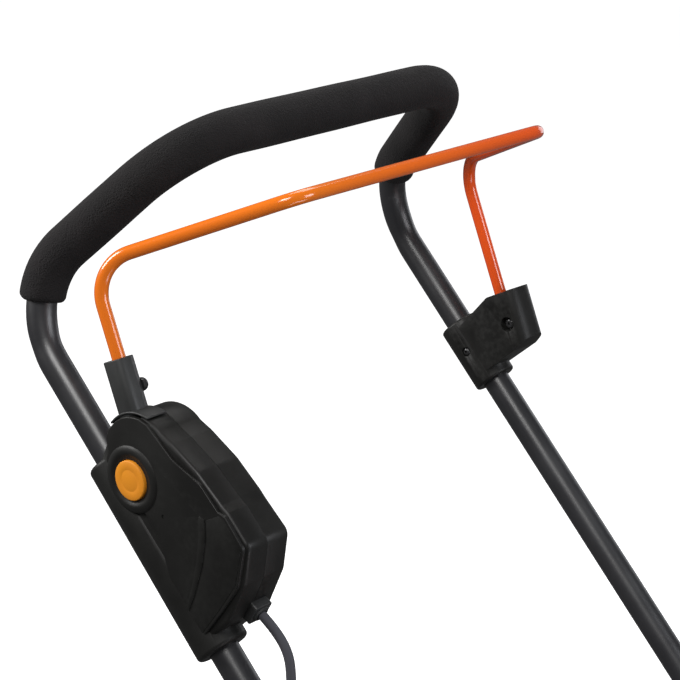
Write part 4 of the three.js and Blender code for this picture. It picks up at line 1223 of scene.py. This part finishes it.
    def build_gland(self) -> None:
        """Makes the stubby square-shouldered gland that the cable leaves by."""
        lean = math.atan(self.gland_slope)
        body = prism("cable_gland_block", rounded(
            [(-8.2, -8.2, 2.6), (8.2, -8.2, 2.6), (8.2, 8.2, 2.6), (-8.2, 8.2, 2.6)], 5), -16, -1.5, Axis.Z)
        bevel(body, 0.6, 3, 50)
        neck = lathe("neck", [(4.2, -2), (6.6, -2), (6.2, -0.6), (5.2, 0), (4.2, 0)], 48)
        boolean(body, [neck], "UNION")
        boolean(body, [rod("cable_bore", (0, 0, -30), (0, 0, 5), 3.75)], "DIFFERENCE")
        stand = Matrix.Translation(self.on_gland(-258.2)) @ Matrix.Rotation(
            math.pi / 2 + lean, 4, "X")
        place(body, stand)
        dress(place(body, self.handle.matrix), SLEEVE_PLASTIC, "upper_handle", ["cable_gland"])

    def build_screws(self) -> None:
        """Sets the four countersunk screws in the far half."""
        for index, (a, b) in enumerate(((-150, 64), (-213, 72), (-236, 30), (-178, 30))):
            screw = lathe(f"switch_box_screw_{index + 1}", [
                (0, -4), (1.4, -4), (1.4, -1.6), (3.0, -0.2), (3.0, 0.2), (2.4, 0.5), (0, 0.6)], 32)
            slots = [prism(f"cross_{k}", [(-1.9, -0.35), (1.9, -0.35), (1.9, 0.35), (-1.9, 0.35)],
                           -0.3, 2, Axis.Z) for k in range(2)]
            place(slots[1], Matrix.Rotation(math.pi / 2, 4, "Z"))
            boolean(screw, slots, "DIFFERENCE")
            place(screw, along_x(self.far_side, a, b))
            dress(place(screw, self.handle.matrix), DARK_SCREW, "upper_handle")


# ---------------------------------------------------------------- left bracket
@dataclass
class BailBracket:
    """The clamped bracket that the bail's left leg turns in."""

    handle: WorkFrame
    bail: Bail
    clamp_radius: float = 17.6
    clamp: tuple[float, float] = (-157.0, -101.0)
    screw_across: float = 14.0

    def build(self) -> None:
        """Makes the bracket's body and its screws."""
        body = rod("bail_bracket_body", (HANDLE_HALF, self.clamp[0], 0), (HANDLE_HALF, self.clamp[1], 0),
                   self.clamp_radius, sides=96)
        bevel(body, 2.0, 4, 50)
        side = prism("side", rounded([
            (-149, 6, 0), (-151.5, 44, 6), (-149, 62.5, 3), (-112, 77.5, 3), (-103, 50, 4),
            (-107, 6, 0)], 6), BAIL_X - 20.5, BAIL_X + 10)
        plan = prism("plan", rounded([(-16.5, 60, 0), (-16.5, -27, 13), (14, -27, 13), (14, 60, 0)], 10),
                     -45, 45, Axis.Z)
        place(plan, self.bail.leg_matrix(BAIL_X - 4))
        boolean(side, [plan], "INTERSECT")
        bevel(side, 0.9, 3, 40)
        boolean(body, [side], "UNION")
        pin_end = (BAIL_X + 8.5, *PIVOT)
        screw = self.bail.on_leg(0, 0, self.screw_across)[1:]
        swing = [*arc(PIVOT, 7.4, 90, 270, 16), (PIVOT[0] + 60, PIVOT[1] - 8), (PIVOT[0] + 60, PIVOT[1] + 32)]
        boolean(body, [
            rod("tube_bore", (HANDLE_HALF, -175, 0), (HANDLE_HALF, -85, 0), TUBE_R + 0.25, sides=64),
            prism("swing", swing, BAIL_X - 5.5, BAIL_X + 5.5),
            rod("pin_hole", (BAIL_X - 16, *PIVOT), pin_end, 2.2, sides=24),
            rod("counterbore", (BAIL_X - 26, *screw), (BAIL_X - 15, *screw), 6, sides=48),
            rod("screw_hole", (BAIL_X - 24, *screw), (BAIL_X + 4, *screw), 2.4, sides=24),
            rod("clamp_hole", (HANDLE_HALF - 30, -127, 3), (HANDLE_HALF - 14.5, -127, 3), 3.9, sides=32),
        ], "DIFFERENCE")
        bevel(body, 0.25, 2, 50)
        dress(place(body, self.handle.matrix), BLACK_PLASTIC, "upper_handle", ["bail_bracket"])
        self.build_screw("bracket_screw_head", BAIL_X - 15.2, screw, 4.2, "bracket_screw", 17)
        self.build_screw("clamp_screw_head", HANDLE_HALF - 15.0, (-127, 3), 3.2, "clamp_screw", 0.1)

    def build_screw(self, name: str, x: float, at: Point2, radius: float, node: str, shank: float) -> None:
        """Makes a domed socket screw that faces the operator's right.

        Args:
            name: The piece's name.
            x: Where the underside of its head lies.
            at: Its axis, in a and b.
            radius: The head's radius.
            node: The node that it replaces.
            shank: How long its shank is.
        """
        screw = lathe(name, [
            (0, -shank), (1.9, -shank), (1.9, 0), (radius, 0), (radius, 1.1), (radius - 0.5, 2.0),
            (radius - 1.4, 2.6), (0, 2.8)], 40)
        recess = prism("hex", [(1.5 * math.cos(t), 1.5 * math.sin(t)) for t in
                               (k * math.pi / 3 for k in range(6))], 1.3, 6, Axis.Z)
        boolean(screw, [recess], "DIFFERENCE")
        place(screw, along_x(x, *at, backwards=True))
        dress(place(screw, self.handle.matrix), DARK_SCREW, "upper_handle", [node])


# ---------------------------------------------------------------- pieces kept from the frame
def softened(frame: dict, node: str, name: str, width: float, angle: float = 28.0
             ) -> bpy.types.Object:
    """Copies a node of the frame and rounds its edges.

    Args:
        frame: The loaded frame.
        node: The node's name.
        name: The new piece's name.
        width: The rounding's width, in millimetres.
        angle: The sharpest angle that stays unrounded, in degrees.

    Returns:
        The copy, in millimetres and in the mower's own frame.
    """
    source = frame["nodes"][node]
    obj = bpy.data.objects.new(name, source.data.copy())
    bpy.context.scene.collection.objects.link(obj)
    place(obj, Matrix.Scale(1 / MM, 4))

    def tidy() -> None:
        """Merges the loose triangles and dissolves the flat ones."""
        bpy.ops.mesh.remove_doubles(threshold=1e-3)
        bpy.ops.mesh.dissolve_limited(angle_limit=math.radians(0.6))

    edit(obj, tidy)
    bevel(obj, width, 2, angle)
    return obj


@dataclass
class KeptPieces:
    """The pieces whose shape the frame already gives, with rounded edges and their finishes."""

    frame: dict
    rounding: dict[str, float] = field(default_factory=lambda: {
        "handle_socket_right": 1.2, "handle_socket_left": 1.2, "cable_clip_1": 0.5, "cable_clip_2": 0.5,
        "cable_clip_3": 0.5, "cable_clip_4": 0.5, "cam_lever_right": 1.2, "cam_lever_left": 1.2,
        "fold_bolt_right": 0.4, "fold_bolt_left": 0.4, "motor_cable_gland": 0.4, "battery_pack": 1.5,
        "grass_box_handle": 1.0, "rear_flap": 1.0, "blade": 0.5, "blade_adapter": 0.6,
        "blade_bolt": 0.6, "safety_key": 1.0, "motor_can": 1.0})
    finishes: dict[str, Finish] = field(default_factory=lambda: {
        f.slot: f for f in (FOAM, TUBE_PAINT, BAIL_PAINT, BLACK_PLASTIC, ORANGE_PLASTIC, DECK_PLASTIC,
                            JACKET, STEEL, TYRE_RUBBER, HUB_PLASTIC)})

    def build(self) -> None:
        """Rounds the edges of each listed piece and gives every shown node its finish."""
        record = self.frame["record"]
        slots = {part["node"]: part["material_slot"] for part in record["subparts"]}
        bodies = {n: body for body, nodes in record["behaviour"]["bodies"].items() for n in nodes}
        for node, width in self.rounding.items():
            piece = softened(self.frame, node, f"{node}_rounded", width)
            place(piece, Matrix.Scale(MM, 4))
            dress(piece, self.finishes[slots[node]], bodies[node], [node])
        for name, node in self.frame["nodes"].items():
            if not node.hide_render:
                node.data.materials.clear()
                node.data.materials.append(self.finishes[slots[name]].material())


# ---------------------------------------------------------------- lower handle
LOWER_X = 178.0
LOWER_FOOT = -935.0


@dataclass
class LowerHandle:
    """The two straight lower tubes and the spring washers at the folding joint."""

    handle: WorkFrame

    def build(self) -> None:
        """Makes both lower tubes and the joint washers."""
        for side, name in ((-1, "right"), (1, "left")):
            x = side * LOWER_X
            tube = pipe(f"lower_tube_{name}_round", bend_path(
                [(x, LOWER_FOOT, 0, 0), (x, FOLD_ALONG + 22, 0, 0)], 12), TUBE_R, None, 16)
            bevel(tube, 1.4, 3, 60)
            boolean(tube, [rod("fold_hole", (x - 30, FOLD_ALONG, 0), (x + 30, FOLD_ALONG, 0), 4.3,
                               sides=32)], "DIFFERENCE")
            dress(place(tube, self.handle.matrix), TUBE_PAINT, "base", [f"lower_tube_{name}"])
            washer = lathe(f"joint_washer_{name}", [
                (4.4, 0), (8.6, 0), (9.0, 0.25), (9.0, 1.1), (8.6, 1.4), (4.4, 1.4)], 48)
            place(washer, along_x(side * (LOWER_X + TUBE_R + 0.2), FOLD_ALONG, 0, side < 0))
            dress(place(washer, self.handle.matrix), BLACK_PLASTIC, "base")


# ---------------------------------------------------------------- wheels
@dataclass
class Wheel:
    """One size of wheel: a lugged tyre on a ribbed hub."""

    radius: float
    inner: float
    along: float
    width: float = 38.0
    lugs: int = 32
    ribs: int = 10

    def profiles(self) -> tuple[bpy.types.Object, bpy.types.Object]:
        """Returns the tyre and the hub, standing on the z axis."""
        r, w = self.radius, self.width
        rim = r - 15
        tyre = lathe("tyre_core", rounded([
            (rim, 3.2, 1), (r - 6, 1.8, 4), (r - 1.6, 8, 5), (r - 1.6, w - 8, 5), (r - 6, w - 1.8, 4),
            (rim, w - 3.2, 1)], 5), 96)
        lug = prism("lug", rounded([(-3.2, 0, 1), (3.2, 0, 1), (3.2, 3, 1), (-3.2, 3, 1)], 2),
                    7, w / 2 - 1.2, Axis.Z)
        bevel(lug, 0.5, 1, 50)
        place(lug, Matrix.Translation((0, r - 3.4, 0)))
        lugs = []
        for k in range(self.lugs * 2):
            turn = Matrix.Rotation(math.pi * k / self.lugs, 4, "Z")
            shift = Matrix.Translation((0, 0, 0 if k % 2 else w / 2 - 5.8))
            lugs.append(twin(lug, f"lug_{k}", turn @ shift))
        bpy.data.objects.remove(lug)
        tyre = merged("tyre", [tyre, *lugs])
        hub_rim = rim - 0.8
        hub = lathe("hub", rounded([
            (6.4, 2, 0), (16, 2, 1), (18, 12, 2), (hub_rim - 7, 12, 2), (hub_rim - 4, 3, 1),
            (hub_rim, 3, 0), (hub_rim, w - 3, 0.8), (hub_rim - 3, w - 3, 1), (hub_rim - 8, w - 9, 3),
            (24, w - 7, 4), (20, w - 1, 2), (11, w, 2), (6.4, w - 1, 0)], 4), 96)
        middle, reach = (24 + hub_rim - 8) / 2, (hub_rim - 8 - 24) / 2
        rib = prism("rib", rounded([(-2.2, -reach, 1), (2.2, -reach, 1), (1.6, reach, 1),
                                    (-1.6, reach, 1)], 3), w - 11, w - 4.6, Axis.Z)
        bevel(rib, 0.7, 2, 50)
        place(rib, Matrix.Translation((0, middle, 0)))
        ribs = [twin(rib, f"rib_{k}", Matrix.Rotation(2 * math.pi * k / self.ribs, 4, "Z"))
                for k in range(self.ribs)]
        bpy.data.objects.remove(rib)
        return tyre, merged("hub", [hub, *ribs])

    def build(self, deck: WorkFrame, end: str) -> None:
        """Makes the wheels at both sides of one end of the deck.

        Args:
            deck: The deck's working frame.
            end: "front" or "rear".
        """
        tyre, hub = self.profiles()
        for side, name in ((1, "left"), (-1, "right")):
            stand = deck.matrix @ along_x(side * self.inner, self.along, self.radius, side < 0)
            for piece, kind, finish in ((tyre, "tyre", TYRE_RUBBER), (hub, "hub", HUB_PLASTIC)):
                label = f"{end}_{name}_{kind}"
                copy = twin(piece, f"{label}_moulded", stand)
                dress(copy, finish, f"wheel_{end}_{name}", [label])
            cap = lathe(f"{end}_{name}_hub_cap", [
                (0, 0), (9.6, 0), (9.6, 1.2), (8.4, 2.6), (5, 3.3), (0, 3.5)], 48)
            place(cap, deck.matrix @ along_x(
                side * (self.inner + self.width - 3.1), self.along, self.radius, side < 0))
            dress(cap, BLACK_PLASTIC, f"wheel_{end}_{name}")
        bpy.data.objects.remove(tyre)
        bpy.data.objects.remove(hub)


# ---------------------------------------------------------------- deck, motor cover and grass box
SHELL_ROUNDING = {"deck_shell": 2.2, "motor_cover": 1.6, "battery_door": 1.0,
                  "grass_box_lower": 1.6, "grass_box_upper": 1.6}


@dataclass
class Bodywork:
    """The big mouldings of the deck, with their ribs, screws and seams."""

    frame: dict
    deck: WorkFrame

    def build(self) -> None:
        """Rounds the mouldings' edges and adds the fittings that sit on them."""
        self.build_shell("deck_shell", DECK_PLASTIC, "base")
        self.build_shell("motor_cover", BLACK_PLASTIC, "base")
        self.build_shell("battery_door", BOX_PLASTIC, "door")
        self.build_shell("grass_box_lower", BOX_PLASTIC, "grass_box")
        self.build_shell("grass_box_upper", BOX_PLASTIC, "grass_box")
        self.build_deck_ribs()
        self.build_box_ribs()

    def build_shell(self, node: str, finish: Finish, body: str) -> None:
        """Makes the rounded copy of one moulding.

        Args:
            node: The frame's node.
            finish: Its finish.
            body: The body that it moves with.
        """
        shell = softened(self.frame, node, f"{node}_moulded", SHELL_ROUNDING[node], 24)
        place(shell, Matrix.Scale(MM, 4))
        dress(shell, finish, body, [node])

    def build_deck_ribs(self) -> None:
        """Lays the two long ribs on each side of the deck's top."""
        for side in (-1, 1):
            for index, x in enumerate((118, 134)):
                rib = prism(f"deck_rib_{'left' if side > 0 else 'right'}_{index + 1}", rounded([
                    (-150, 164, 2), (-100, 176.5, 20), (60, 184, 20), (140, 195, 20), (190, 206, 4),
                    (190, 212, 3), (140, 202.5, 20), (60, 191, 20), (-100, 183.5, 20),
                    (-150, 173, 3)], 4), side * x - 2.2, side * x + 2.2)
                bevel(rib, 1.0, 2, 40)
                dress(place(rib, self.deck.matrix), DECK_PLASTIC, "base")

    def build_box_ribs(self) -> None:
        """Stands the upright ribs on the grass box's back."""
        for index, x in enumerate((-90, -45, 0, 45, 90)):
            rib = prism(f"grass_box_rib_{index + 1}", rounded([
                (640, 128, 1), (648.6, 128, 2), (653.5, 254, 2), (640, 258, 1)], 3), x - 3, x + 3)
            bevel(rib, 0.8, 2, 40)
            dress(place(rib, self.deck.matrix), BOX_PLASTIC, "grass_box")


# ---------------------------------------------------------------- the mower
def main() -> None:
    """Builds every sub-assembly in order."""
    logging.basicConfig(level=logging.INFO, format="%(name)s: %(message)s")
    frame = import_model()
    handle, deck = handle_frame(frame), deck_frame(frame)
    Studio(target=handle.point(0, 0, 0)).build()
    ControlCable(handle).build()
    UpperHandle(handle).build()
    bail = Bail(handle)
    bail.build()
    SwitchBox(handle).build()
    BailBracket(handle, bail).build()
    LowerHandle(handle).build()
    Wheel(radius=75, inner=168, along=-185).build(deck, "front")
    Wheel(radius=90, inner=188, along=195, lugs=38, ribs=12).build(deck, "rear")
    Bodywork(frame, deck).build()
    KeptPieces(frame).build()


if __name__ == "__main__":
    main()
